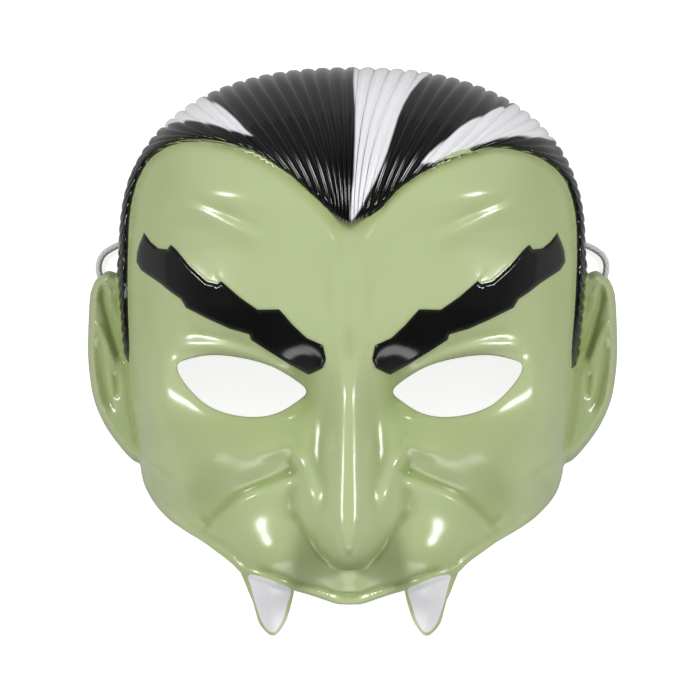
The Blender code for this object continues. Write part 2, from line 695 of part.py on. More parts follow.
def build_half(bm):
    """Add the outer face of the half mask at positive X to the mesh."""
    patch, crest = hair_patch()
    patch[:, 0, 0] = 0.0
    loop, ear = half_border(patch)
    eye = even_points(np.vstack([eye_loop(), eye_loop()[:1]]), FINE_STEP)[:-1]
    brow = brow_loop()
    brow_top = shrink(brow, BROW_BEVEL)
    lid = eye_rows(eye)
    points = np.vstack([face_points(loop, ear, [eye, brow, lid]), lid])
    plan, faces = triangulate(loop, [eye], [brow, brow_top], points)
    heights = sheet_height(plan)
    add_faces(bm, np.column_stack([plan, heights]), faces)
    rows, columns, _ = patch.shape
    flat = patch.reshape(-1, 2)
    normals = plan_normals(flat)
    on_rim = np.repeat(np.arange(rows) == rows - 1, columns)
    heights = sheet_height(flat)
    at_rim = on_rim & (heights < rim_height(flat[:, 1]) + RIM_SLACK)
    heights[at_rim] = rim_height(flat[at_rim, 1])
    normals[at_rim, 2] = 0.0
    normals /= np.linalg.norm(normals, axis=1)[:, None]
    lift = hair_lift(patch, crest).reshape(-1)
    lift[on_rim & ~at_rim] = 0.0
    solid = np.column_stack([flat, heights]) + normals * lift[:, None]
    solid[:, 0] = np.where(np.abs(flat[:, 0]) < MERGE, 0.0, solid[:, 0])
    quads = [
        (r * columns + c, r * columns + c + 1, (r + 1) * columns + c + 1, (r + 1) * columns + c)
        for r in range(rows - 1) for c in range(columns - 1)
    ]
    add_faces(bm, solid, [quad[::-1] for quad in quads])


def eye_rows(eye):
    """Return a row of points round the eye hole, where the rolled lip ends."""
    middle = eye.mean(axis=0)
    out = eye - middle
    out /= np.linalg.norm(out, axis=1)[:, None]
    return eye + out * 2 * EYE_ROLL


def add_wall(bm):
    """Give the open sheet its thickness, inwards, with a flat foot where it meets the ground."""
    bm.normal_update()
    outer = list(bm.verts)
    border = [edge for edge in bm.edges if edge.is_boundary]
    rim = {vert for edge in border for vert in edge.verts}
    normals = {}
    for vert in outer:
        normal = vert.normal.copy()
        if vert in rim and vert.co.z < rim_height(np.array([vert.co.y]))[0] + 5 * MERGE:
            normal.z = 0.0
            normal.normalize()
        normals[vert] = normal
    inner = {vert: bm.verts.new(vert.co - normals[vert] * WALL) for vert in outer}
    for face in list(bm.faces):
        bm.faces.new([inner[vert] for vert in reversed(face.verts)])
    for edge in border:
        loop = edge.link_loops[0]
        a, b = loop.vert, loop.link_loop_next.vert
        bm.faces.new([b, a, inner[a], inner[b]])
    for vert in bm.verts:
        vert.co.z = max(vert.co.z, 0.0)


def make_object(name, bm, material):
    """Turn a mesh into a named object."""
    mesh = bpy.data.meshes.new(name)
    bm.to_mesh(mesh)
    bm.free()
    mesh.materials.append(material)
    mesh.shade_smooth()
    thing = bpy.data.objects.new(name, mesh)
    bpy.context.collection.objects.link(thing)
    return thing


def make_shell(material):
    """Build the whole formed sheet."""
    bm = bmesh.new()
    build_half(bm)
    bmesh.ops.remove_doubles(bm, verts=bm.verts, dist=MERGE)
    bmesh.ops.mirror(bm, geom=bm.verts[:] + bm.edges[:] + bm.faces[:], matrix=Matrix.Identity(4),
                     merge_dist=MERGE, axis="X")
    bmesh.ops.recalc_face_normals(bm, faces=bm.faces)
    bmesh.ops.triangulate(bm, faces=bm.faces)
    if sum(face.normal.z * face.calc_area() for face in bm.faces) < 0:
        bmesh.ops.reverse_faces(bm, faces=bm.faces)
    add_wall(bm)
    return make_object("mask_shell", bm, material)


def pad_top(shell):
    """Return the height of the pad's top, just clear of the sheet over it."""
    x, y = ear_place(*PAD_PLACE)
    tree = BVHTree.FromPolygons([vert.co for vert in shell.data.vertices],
                                [face.vertices for face in shell.data.polygons])
    xs = np.linspace(x - PAD_WIDTH / 2, x + PAD_WIDTH / 2, 21)
    ys = np.linspace(y - PAD_LENGTH / 2, y + PAD_LENGTH / 2, 33)
    hits = [tree.ray_cast(Vector((a, b, 0.0)), Vector((0, 0, 1)))[0] for a in xs for b in ys]
    return min(hit.z for hit in hits if hit) - SEAT_GAP


def make_pad(name, side, top, material):
    """Build one anchor pad under the root of the ear."""
    x, y = ear_place(*PAD_PLACE)
    bm = bmesh.new()
    bmesh.ops.create_cube(bm, size=1.0)
    bmesh.ops.scale(bm, vec=(PAD_WIDTH, PAD_LENGTH, PAD_THICKNESS), verts=bm.verts)
    bmesh.ops.translate(bm, vec=(side * x, y, top - PAD_THICKNESS / 2), verts=bm.verts)
    return make_object(name, bm, material)


def make_cord(material):
    """Build the round elastic along its route."""
    route = smooth_curve(CORD_ROUTE, fineness=40)
    points = read_curve(route, np.linspace(0, 1, CORD_POINTS))
    curve = bpy.data.curves.new("elastic_cord", "CURVE")
    curve.dimensions = "3D"
    curve.bevel_depth = CORD_DIAMETER / 2
    curve.bevel_resolution = 2
    curve.use_fill_caps = True
    spline = curve.splines.new("POLY")
    spline.points.add(len(points) - 1)
    for target, point in zip(spline.points, points):
        target.co = (*point, 1.0)
    curve.materials.append(material)
    thing = bpy.data.objects.new("elastic_cord", curve)
    bpy.context.collection.objects.link(thing)
    return thing


def main():
    """Build every piece of the mask."""
    clear_scene()
    shell = make_shell(make_material("formed_plastic", (0.45, 0.52, 0.28), 0.22))
    make_cord(make_material("elastic", (0.78, 0.77, 0.75), 0.80))
    pad_plastic = make_material("pad_plastic", (0.80, 0.80, 0.78), 0.45)
    top = pad_top(shell)
    make_pad("cord_anchor_right", 1, top, pad_plastic)
    make_pad("cord_anchor_left", -1, top, pad_plastic)


main()
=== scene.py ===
"""The looks of a formed half mask with ribbed hair, painted brows and fangs, and its loose elastic."""
import logging
import math
from dataclasses import dataclass, field
from enum import Enum
from typing import Sequence

import bmesh
import bpy
import numpy as np
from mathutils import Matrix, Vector
from mathutils.geometry import delaunay_2d_cdt


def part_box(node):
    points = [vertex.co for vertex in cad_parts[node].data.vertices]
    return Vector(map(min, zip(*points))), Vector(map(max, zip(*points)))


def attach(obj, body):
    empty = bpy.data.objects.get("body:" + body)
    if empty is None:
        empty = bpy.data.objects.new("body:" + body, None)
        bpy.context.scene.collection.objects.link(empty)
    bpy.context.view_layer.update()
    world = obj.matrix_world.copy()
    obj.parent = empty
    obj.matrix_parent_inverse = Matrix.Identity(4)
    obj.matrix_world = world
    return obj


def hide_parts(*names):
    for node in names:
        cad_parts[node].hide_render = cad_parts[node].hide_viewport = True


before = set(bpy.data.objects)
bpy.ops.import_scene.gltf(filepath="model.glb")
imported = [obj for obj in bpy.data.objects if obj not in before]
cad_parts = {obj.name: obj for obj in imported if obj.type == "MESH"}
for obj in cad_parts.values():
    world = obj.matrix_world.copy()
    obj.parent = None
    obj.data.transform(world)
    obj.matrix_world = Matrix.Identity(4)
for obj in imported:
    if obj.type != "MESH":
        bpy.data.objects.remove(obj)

LOG = logging.getLogger("mask")
MILLIMETRE = 0.001
TINY = 1e-9

Table = Sequence[Sequence[float]]


class Side(Enum):
    """Which half of the mask a stretch belongs to, as the sign of its X."""

    LEFT = -1
    RIGHT = 1


class Fineness(Enum):
    """How far apart the sheet's points lie, in metres."""

    PLAIN = 0.00150
    FINE = 0.00075


def ease(low: float, high: float, value: np.ndarray) -> np.ndarray:
    """Blend smoothly from 0 to 1.

    Args:
        low: Where the blend starts.
        high: Where the blend ends.
        value: The values to read it at.

    Returns:
        0 below low, 1 above high and a smooth step between.
    """
    t = np.clip((value - low) / (high - low), 0.0, 1.0)
    return t * t * (3 - 2 * t)


def smooth_table(rows: Table, column: int, value: np.ndarray) -> np.ndarray:
    """Read a column of a table on a smooth curve through its rows.

    Args:
        rows: The table, whose first column rises.
        column: The column to read.
        value: Where to read it.

    Returns:
        The column's values there.
    """
    xs = np.array([row[0] for row in rows])
    ys = np.array([row[column] for row in rows])
    slopes = np.gradient(ys, xs)
    value = np.clip(value, xs[0], xs[-1])
    i = np.clip(np.searchsorted(xs, value) - 1, 0, len(xs) - 2)
    gap = xs[i + 1] - xs[i]
    t = (value - xs[i]) / gap
    return (
        ys[i] * (1 + 2 * t) * (1 - t) ** 2
        + slopes[i] * gap * t * (1 - t) ** 2
        + ys[i + 1] * t * t * (3 - 2 * t)
        + slopes[i + 1] * gap * t * t * (t - 1)
    )


def smooth_curve(points: Table, closed: bool = False, fineness: int = 16) -> np.ndarray:
    """Draw a smooth curve through points.

    Args:
        points: The points that it passes.
        closed: Whether it returns to its start.
        fineness: How many points it has between two of them.

    Returns:
        The curve's points, one a row.
    """
    pts = np.array(points, float)
    if closed:
        pts = np.vstack([pts[-1:], pts, pts[:2]])
    else:
        pts = np.vstack([2 * pts[:1] - pts[1:2], pts, 2 * pts[-1:] - pts[-2:-1]])
    t = np.linspace(0, 1, fineness, endpoint=False)[:, None]
    runs = []
    for a, b, c, d in zip(pts, pts[1:], pts[2:], pts[3:]):
        curve = 2 * b + (c - a) * t + (2 * a - 5 * b + 4 * c - d) * t ** 2 + (3 * b - a - 3 * c + d) * t ** 3
        runs.append(curve / 2)
    if not closed:
        runs.append(pts[-2:-1])
    return np.vstack(runs)


def read_curve(curve: np.ndarray, shares: np.ndarray) -> np.ndarray:
    """Return the curve's points at the shares of its length."""
    steps = np.linalg.norm(np.diff(curve, axis=0), axis=1)
    along = np.concatenate([[0.0], np.cumsum(steps)])
    return np.stack([np.interp(shares, along / along[-1], curve[:, k]) for k in range(curve.shape[1])], axis=1)


def curve_length(curve: np.ndarray) -> float:
    """Return the length of a curve."""
    return float(np.linalg.norm(np.diff(curve, axis=0), axis=1).sum())


def even_points(curve: np.ndarray, step: float) -> np.ndarray:
    """Return points about a step apart along the curve, both ends included."""
    return read_curve(curve, np.linspace(0, 1, max(2, round(curve_length(curve) / step) + 1)))


def distance_to(points: np.ndarray, path: np.ndarray) -> np.ndarray:
    """Return each point's distance to a path of straight runs."""
    best = np.full(len(points), np.inf)
    for a, b in zip(path, path[1:]):
        run = b - a
        t = np.clip(((points - a) @ run) / max(run @ run, 1e-18), 0, 1)
        off = points - a - t[:, None] * run
        best = np.minimum(best, np.einsum("ij,ij->i", off, off))
    return np.sqrt(best)


def beside(points: np.ndarray, path: np.ndarray) -> tuple[np.ndarray, np.ndarray]:
    """Measure points against a path.

    Args:
        points: The points.
        path: The path's points.

    Returns:
        Each point's distance, positive on the path's left, and its share along the path.
    """
    lengths = np.linalg.norm(np.diff(path, axis=0), axis=1)
    starts = np.concatenate([[0.0], np.cumsum(lengths)])
    best = np.full(len(points), np.inf)
    side = np.ones(len(points))
    share = np.zeros(len(points))
    for a, b, start, length in zip(path, path[1:], starts, lengths):
        run = b - a
        t = np.clip(((points - a) @ run) / max(run @ run, 1e-18), 0, 1)
        off = points - a - t[:, None] * run
        away = np.einsum("ij,ij->i", off, off)
        closer = away < best
        best = np.where(closer, away, best)
        side = np.where(closer, np.sign(run[0] * off[:, 1] - run[1] * off[:, 0] + TINY * TINY), side)
        share = np.where(closer, (start + t * length) / starts[-1], share)
    return np.sqrt(best) * side, share


def inside(points: np.ndarray, loop: np.ndarray) -> np.ndarray:
    """Tell which points lie inside a closed loop."""
    x, y = points[:, 0], points[:, 1]
    result = np.zeros(len(points), bool)
    for (x0, y0), (x1, y1) in zip(loop, np.roll(loop, -1, axis=0)):
        crosses = (y0 > y) != (y1 > y)
        reach = (x1 - x0) * (y - y0) / (y1 - y0 if y1 != y0 else 1.0) + x0
        result ^= crosses & (x < reach)
    return result


def depth_inside(points: np.ndarray, loop: np.ndarray) -> np.ndarray:
    """Return the distance to a loop's edge, negative outside it."""
    edge = distance_to(points, np.vstack([loop, loop[:1]]))
    return np.where(inside(points, loop), edge, -edge)


@dataclass
class FaceMap:
    """Places on the face, as shares of the head's sizes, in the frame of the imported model."""

    head_half: float = 0.0877
    ear_half: float = 0.1000
    crown_rise: float = 0.06865
    crest_rise: float = 0.00055
    face_drop: float = 0.1331
    fang_drop: float = 0.0117
    fang_middle: float = 0.328
    fang_half: float = 0.0112

    @property
    def temple(self) -> float:
        """Return the height of the temple line."""
        return (self.face_drop + self.fang_drop - self.crown_rise - self.crest_rise) / 2

    def place(self, across: float, down: float) -> tuple[float, float]:
        """Return the point at the shares across and down."""
        drop = self.crown_rise if down < 0 else self.face_drop
        return (across * self.head_half, self.temple - down * drop)

    def places(self, rows: Table) -> list[tuple[float, float]]:
        """Return the points of a table of shares."""
        return [self.place(row[0], row[1]) for row in rows]

    def down_of(self, y: np.ndarray) -> np.ndarray:
        """Return the shares down of heights."""
        below = self.temple - y
        return np.where(below < 0, below / self.crown_rise, below / self.face_drop)

    def ear_place(self, reach: float, down: float) -> tuple[float, float]:
        """Return a point of the ear's edge, at a share of its reach beyond the head."""
        return (self.head_half + reach * (self.ear_half - self.head_half), self.temple - down * self.face_drop)

    def fang_place(self, offset: float, down: float) -> tuple[float, float]:
        """Return a point of a fang, offset from its middle over its half width."""
        y = self.temple - down * self.face_drop
        if down > 1:
            y = self.temple - self.face_drop - (down - 1) / 0.088 * self.fang_drop
        return (self.fang_middle * self.head_half + offset * self.fang_half, y)


@dataclass(frozen=True)
class Crease:
    """A ridge or a groove along a path, with its own width on either side."""

    path: Table
    rise: float
    left: float
    right: float
    fade: float = 0.15

    def height(self, points: np.ndarray, face: FaceMap) -> np.ndarray:
        """Return what the crease adds at points of the right half."""
        off, share = beside(points, smooth_curve(face.places(self.path), fineness=5))
        width = np.where(off > 0, self.left, self.right)
        ends = ease(0, self.fade, share) * ease(0, self.fade, 1 - share)
        return self.rise * MILLIMETRE * np.exp(-(off / (width * MILLIMETRE)) ** 2) * ends


@dataclass(frozen=True)
class Ledge:
    """A step along a path, high on its left and sinking away from it."""

    path: Table
    rise: float
    sharp: float
    reach: float
    fade: float = 0.10

    def height(self, points: np.ndarray, face: FaceMap) -> np.ndarray:
        """Return what the ledge adds at points of the right half."""
        return self.height_along(points, smooth_curve(face.places(self.path), fineness=5))

    def height_along(self, points: np.ndarray, line: np.ndarray) -> np.ndarray:
        """Return what the ledge adds beside a line that is already drawn."""
        off, share = beside(points, line)
        sharp, reach = self.sharp * MILLIMETRE, self.reach * MILLIMETRE
        ends = ease(0, self.fade, share) * ease(0, self.fade, 1 - share)
        return self.rise * MILLIMETRE * ease(-sharp, sharp, off) * np.exp(-np.clip(off, 0, None) / reach) * ends


@dataclass
class Relief:
    """The height of the formed sheet over each place, as one surface from rim to nose."""

    face: FaceMap
    face_depth: float = 0.0740
    nose_rise: float = 0.0225
    nose_half: float = 0.0103
    nose_flat: float = 2.4
    feature_rise: float = 0.0080
    brow_length: float = 0.0722
    brow_height: float = 0.0535
    brow_relief: float = 0.0013
    brow_bevel: float = 0.0010
    brow_top: int = 17
    eye_width: float = 0.0484
    eye_height: float = 0.0229
    eye_roll: float = 0.0016
    ear_relief: float = 0.0088
    fang_bulge: float = 0.0034
    rim_lift: float = 0.00325
    plan_power: float = 2.43
    section_power: float = 2.2
    lift_span: tuple[float, float, float] = (-0.16, 0.16, 0.10)
    eye_middle: tuple[float, float] = (0.461, 0.386)
    brow_corner: tuple[float, float] = (0.097, -0.093)

    # Side of the head at its rim: down, share of the half width
    head_side: Table = (
        (0.00, 1.000), (0.07, 1.010), (0.142, 1.004), (0.27, 0.985), (0.43, 0.957), (0.57, 0.922),
        (0.61, 0.916), (0.66, 0.902), (0.71, 0.866), (0.77, 0.832), (0.88, 0.800), (1.00, 0.770), (1.15, 0.745),
    )
    # How square the section across the head is: down, power
    squareness: Table = (
        (0.00, 2.43), (0.10, 2.60), (0.20, 3.00), (0.30, 3.70), (0.45, 4.80), (0.60, 4.60), (0.80, 3.60),
        (1.00, 3.00), (1.15, 3.00),
    )
    # Middle of the face without its nose: down, share of the face depth
    midline: Table = (
        (0.00, 1.000), (0.25, 1.000), (0.43, 0.985), (0.60, 0.965), (0.75, 0.945), (0.86, 0.925),
        (0.93, 0.905), (1.00, 0.865), (1.12, 0.800),
    )
    # Nose along the middle: down, share of its rise, share of its half width
    nose: Table = (
        (0.02, 0.00, 0.50), (0.20, 0.04, 0.52), (0.33, 0.06, 0.50), (0.40, 0.18, 0.54), (0.50, 0.41, 0.72),
        (0.60, 0.63, 0.88), (0.70, 0.84, 1.02), (0.77, 0.97, 1.00), (0.82, 1.00, 0.84), (0.845, 0.96, 0.70),
        (0.862, 0.84, 0.58), (0.876, 0.52, 0.48), (0.888, 0.12, 0.45), (0.900, 0.00, 0.45),
    )
    # Rounded forms: across, down, reach across, reach down, turn in degrees, share of the feature rise
    forms: Table = (
        (0.560, -0.30, 0.270, 0.110, -8.0, 0.40),
        (0.160, 0.21, 0.130, 0.090, -25.0, 0.26),
        (0.455, 0.345, 0.300, 0.090, -14.0, -0.85),
        (0.190, 0.400, 0.080, 0.075, 0.0, -0.80),
        (0.880, 0.20, 0.070, 0.110, 0.0, -0.45),
        (0.835, 0.415, 0.095, 0.115, 0.0, 0.75),
        (0.620, 0.480, 0.240, 0.130, 12.0, 0.42),
        (0.610, 0.690, 0.150, 0.055, 35.0, -0.30),
        (0.315, 0.868, 0.210, 0.112, 12.0, 1.15),
        (0.165, 0.690, 0.058, 0.085, 8.0, 0.85),
        (0.000, 0.955, 0.060, 0.050, 0.0, -0.15),
        (0.815, 0.672, 0.036, 0.030, 10.0, -0.45),
    )
    # Creases of the face: paths across and down, then rise and widths in millimetres
    creases: tuple[Crease, ...] = (
        Crease(((0.195, 0.604), (0.241, 0.622), (0.276, 0.636), (0.332, 0.651), (0.405, 0.668), (0.466, 0.688),
                (0.532, 0.724), (0.578, 0.753), (0.608, 0.777), (0.645, 0.800)), -3.3, 6.0, 2.1, 0.12),
        Crease(((0.224, 0.631), (0.297, 0.656), (0.388, 0.682), (0.457, 0.702), (0.513, 0.733), (0.569, 0.770),
                (0.621, 0.798)), 0.8, 1.7, 2.6, 0.15),
        Crease(((0.836, 0.400), (0.815, 0.483), (0.741, 0.545), (0.612, 0.580), (0.461, 0.585), (0.332, 0.562),
                (0.224, 0.534)), 1.5, 8.0, 9.5, 0.30),
        Crease(((0.410, 0.578), (0.340, 0.568), (0.280, 0.553), (0.220, 0.531)), 1.0, 2.6, 2.6, 0.30),
        Crease(((0.806, 0.284), (0.698, 0.272), (0.590, 0.272), (0.483, 0.284), (0.375, 0.309), (0.276, 0.345),
                (0.207, 0.386)), 1.1, 2.0, 2.2, 0.20),
        Crease(((0.720, 0.222), (0.590, 0.238), (0.483, 0.254), (0.388, 0.278)), -1.1, 3.2, 3.2, 0.25),
        Crease(((0.914, -0.137), (0.888, -0.300), (0.862, -0.382), (0.806, -0.475), (0.685, -0.525),
                (0.509, -0.515), (0.400, -0.465), (0.259, -0.350), (0.151, -0.213), (0.078, -0.087),
                (0.012, 0.025)), -0.6, 1.0, 1.2, 0.06),
        Crease(((0.806, -0.202), (0.750, -0.235), (0.698, -0.229), (0.634, -0.197), (0.543, -0.147),
                (0.435, -0.087), (0.332, -0.016)), 1.2, 3.4, 2.2, 0.25),
        Crease(((0.741, -0.285), (0.655, -0.262), (0.547, -0.212), (0.440, -0.150)), -0.6, 1.8, 2.4, 0.30),
        Crease(((0.030, 0.020), (0.037, 0.120), (0.037, 0.250), (0.036, 0.330), (0.034, 0.400)),
               0.40, 1.7, 1.7, 0.15),
        Crease(((0.000, 0.190), (0.000, 0.270), (0.000, 0.345)), -0.6, 2.0, 2.0, 0.40),
        Crease(((0.319, 0.480), (0.260, 0.470), (0.205, 0.452)), 0.5, 1.0, 1.4, 0.30),
        Crease(((0.884, 0.608), (0.849, 0.614), (0.806, 0.631), (0.754, 0.656), (0.737, 0.696), (0.726, 0.761)),
               -1.5, 2.6, 1.3, 0.15),
        Crease(((0.250, 0.725), (0.215, 0.762), (0.178, 0.802), (0.120, 0.855), (0.060, 0.885)),
               -0.7, 2.0, 2.6, 0.20),
    )
    # Creases of the ear, in the same columns
    ear_creases: tuple[Crease, ...] = (
        Crease(((1.075, 0.092), (1.070, 0.131), (1.044, 0.202), (1.014, 0.270), (0.988, 0.324)),
               -2.4, 1.9, 1.7, 0.14),
        Crease(((1.113, 0.235), (1.096, 0.298), (1.075, 0.366), (1.053, 0.426), (1.036, 0.482)),
               -2.4, 3.0, 2.4, 0.22),
        Crease(((1.022, 0.340), (1.016, 0.386), (1.016, 0.430)), -1.3, 1.2, 1.2, 0.25),
        Crease(((1.118, 0.210), (1.092, 0.213), (1.062, 0.253), (1.036, 0.301), (1.018, 0.332)),
               0.9, 1.3, 1.3, 0.15),
        Crease(((1.053, 0.091), (1.049, 0.148), (1.027, 0.190)), 0.9, 1.2, 1.2, 0.25),
    )
    forehead_plate: Ledge = Ledge(
        ((0.914, -0.137), (0.888, -0.300), (0.862, -0.382), (0.806, -0.475), (0.685, -0.525), (0.509, -0.515),
         (0.400, -0.465), (0.259, -0.350), (0.151, -0.213), (0.078, -0.087), (0.020, 0.010)), 1.1, 0.9, 11.0, 0.08,
    )
    brow_overhang: Ledge = Ledge((), 0.5, 0.7, 2.2, 0.06)
    # Jaw from the notch to the fang: across, down
    jaw: Table = (
        (0.912, 0.611), (0.902, 0.648), (0.885, 0.682), (0.859, 0.710), (0.820, 0.739), (0.772, 0.767),
        (0.706, 0.795), (0.630, 0.824), (0.569, 0.852), (0.509, 0.881), (0.466, 0.909),
    )
    lip: Table = (
        (0.236, 0.960), (0.182, 0.970), (0.139, 0.979), (0.095, 0.989), (0.052, 0.998), (0.000, 1.000),
    )
    lip_roll: float = 0.0007
    lip_width: float = 0.0034
    # Ear from its top to the notch under it: share of the ear's reach beyond the head, down
    ear: Table = (
        (0.070, 0.068), (0.255, 0.061), (0.410, 0.060), (0.625, 0.074), (0.780, 0.088), (0.900, 0.114),
        (0.955, 0.142), (1.000, 0.227), (1.000, 0.3125), (0.890, 0.398), (0.710, 0.4545), (0.400, 0.511),
        (-0.060, 0.568), (-0.370, 0.597), (-0.540, 0.605), (-0.615, 0.611),
    )
    # Eye hole round its middle: towards the nose over the width, up over the height
    eye: Table = (
        (-0.500, 0.330), (-0.420, 0.440), (-0.227, 0.508), (0.008, 0.458), (0.242, 0.317), (0.438, 0.067),
        (0.500, -0.090), (0.438, -0.233), (0.280, -0.433), (0.100, -0.500), (-0.110, -0.440), (-0.290, -0.267),
        (-0.445, 0.067),
    )
    # Brow from its inner top corner: outwards over its length, down over its height
    brow: Table = (
        (0.958, 0.000), (0.921, 0.067), (0.880, 0.113), (0.832, 0.120), (0.814, 0.085), (0.785, 0.120),
        (0.712, 0.237), (0.623, 0.346), (0.565, 0.364), (0.552, 0.336), (0.450, 0.456), (0.356, 0.544),
        (0.243, 0.541), (0.173, 0.650), (0.100, 0.742), (0.016, 0.792), (0.000, 0.898), (0.021, 0.954),
        (0.094, 1.000), (0.188, 0.929), (0.293, 0.841), (0.393, 0.756), (0.401, 0.717), (0.503, 0.678),
        (0.607, 0.615), (0.733, 0.530), (0.759, 0.470), (0.817, 0.417), (0.869, 0.360), (0.974, 0.265),
        (1.000, 0.205), (0.995, 0.134), (0.984, 0.085),
    )

    def eye_loop(self) -> np.ndarray:
        """Return the edge of the eye hole of the right half."""
        x, y = self.face.place(*self.eye_middle)
        rows = [(x - toward * self.eye_width, y + up * self.eye_height) for toward, up in self.eye]
        return smooth_curve(rows, closed=True, fineness=8)

    def brow_loop(self) -> np.ndarray:
        """Return the jagged outline of the brow of the right half."""
        x, y = self.face.place(*self.brow_corner)
        return np.array([(x + out * self.brow_length, y - down * self.brow_height) for out, down in self.brow])

    def ear_curve(self) -> np.ndarray:
        """Return the ear's edge from its top to the notch."""
        return smooth_curve([self.face.ear_place(*row) for row in self.ear], fineness=8)

    def ear_region(self) -> np.ndarray:
        """Return the ear's edge closed inside the head."""
        return np.vstack([self.ear_curve(), self.face.places(((0.80, 0.62), (0.80, 0.068)))])

    def rim_height(self, y: np.ndarray) -> np.ndarray:
        """Return how high the rim stands off the ground, to let the elastic pass."""
        top, foot, ramp = self.lift_span
        down = self.face.down_of(y)
        return self.rim_lift * ease(top, top + ramp, down) * (1 - ease(foot - ramp, foot, down))

    def head_height(self, x: np.ndarray, y: np.ndarray) -> np.ndarray:
        """Return the height of the plain head form over the rim."""
        down = self.face.down_of(y)
        half_width = self.face.head_half * smooth_table(self.head_side, 1, down)
        middle = self.face_depth * smooth_table(self.midline, 1, down)
        crown = np.clip(-down, 0, 1) ** self.plan_power
        side = np.clip(np.abs(x) / half_width, 0, 1) ** smooth_table(self.squareness, 1, down)
        left_over = np.clip(1 - side - crown, 0, 1)
        return (middle - self.rim_height(y)) * left_over ** (1 / self.section_power)

    def feature_height(self, x: np.ndarray, y: np.ndarray) -> np.ndarray:
        """Return what the rounded forms, the fold and the nose add to the head form."""
        down = self.face.down_of(y)
        across = x / self.face.head_half
        rise = np.zeros_like(x)
        for middle, level, wide, tall, turn, share in self.forms:
            c, s = math.cos(math.radians(turn)), math.sin(math.radians(turn))
            out = across - middle
            low = down - level
            along = (out * c + low * s) / wide
            over = (low * c - out * s) / tall
            rise += share * self.feature_rise * np.exp(-along ** 2 - over ** 2)
        near = np.stack([x, y], axis=1)
        for crease in self.creases:
            rise += crease.height(near, self.face)
        rise += self.forehead_plate.height(near, self.face)
        rise += self.brow_overhang.height_along(near, self.brow_loop()[self.brow_top::-1])
        rise += self.lip_height(near)
        ridge = self.nose_rise * smooth_table(self.nose, 1, down)
        half_width = self.nose_half * smooth_table(self.nose, 2, down)
        return rise + ridge * np.exp(-(x / half_width) ** self.nose_flat)

    def lip_height(self, points: np.ndarray) -> np.ndarray:
        """Return the rolled edge along the jaw and the lip, and the step down past it to the fang."""
        line = np.vstack([smooth_curve(self.face.places(self.jaw)), smooth_curve(self.face.places(self.lip))])
        off, _ = beside(points, line)
        roll = np.exp(-((-off / self.lip_width - 0.35) / 0.35) ** 2)
        crease = np.exp(-((-off / self.lip_width - 1.0) / 0.30) ** 2)
        past = ease(0.0, 0.3 * self.lip_width, off)
        return self.lip_roll * (roll * (1 - past) - crease - 1.6 * past)

    def ear_height(self, points: np.ndarray) -> np.ndarray:
        """Return the ear's relief: a rounded rim, and the hollows inside it."""
        depth = depth_inside(points, self.ear_region())
        rim = self.ear_relief * ease(-0.0002, 0.0024, depth)
        for crease in self.ear_creases:
            rim += crease.height(points, self.face) * ease(0.0004, 0.0022, depth)
        return np.where(depth > 0, np.clip(rim, 0, None), 0.0)

    def height(self, points: np.ndarray) -> np.ndarray:
        """Return the height of the sheet's outer face over plan points, without hair or ribs."""
        x, y = np.abs(points[:, 0]), points[:, 1]
        near = np.stack([x, y], axis=1)
        base = self.rim_height(y)
        head = self.head_height(x, y)
        head = head + self.feature_height(x, y) * ease(0.0, 0.35, head / self.face_depth)
        eye = np.clip(-depth_inside(near, self.eye_loop()), 0, None)
        head -= self.eye_roll * np.exp(-eye / self.eye_roll)
        head += self.brow_relief * ease(0.0, self.brow_bevel, depth_inside(near, self.brow_loop()))
        fang = np.clip(1 - np.abs(x - self.face.fang_middle * self.face.head_half) / self.face.fang_half, 0, 1)
        head += self.fang_bulge * np.sin(fang * math.pi / 2) * ease(0.90, 0.99, self.face.down_of(y))
        ear = self.ear_height(near)
        head = np.clip(head, 0, None)
        reach = np.minimum(0.004, 2 * np.minimum(head, ear) + TINY)
        overlap = np.clip(reach - np.abs(head - ear), 0, None)
        return base + np.maximum(head, ear) + overlap ** 2 / (4 * reach)

    def normals(self, points: np.ndarray) -> np.ndarray:
        """Return the sheet's outward normals over plan points."""
        step = 0.0002
        slope_x = self.height(points + (step, 0)) - self.height(points - (step, 0))
        slope_y = self.height(points + (0, step)) - self.height(points - (0, step))
        normals = np.stack([-slope_x, -slope_y, np.full(len(points), 2 * step)], axis=1)
        return normals / np.linalg.norm(normals, axis=1)[:, None]


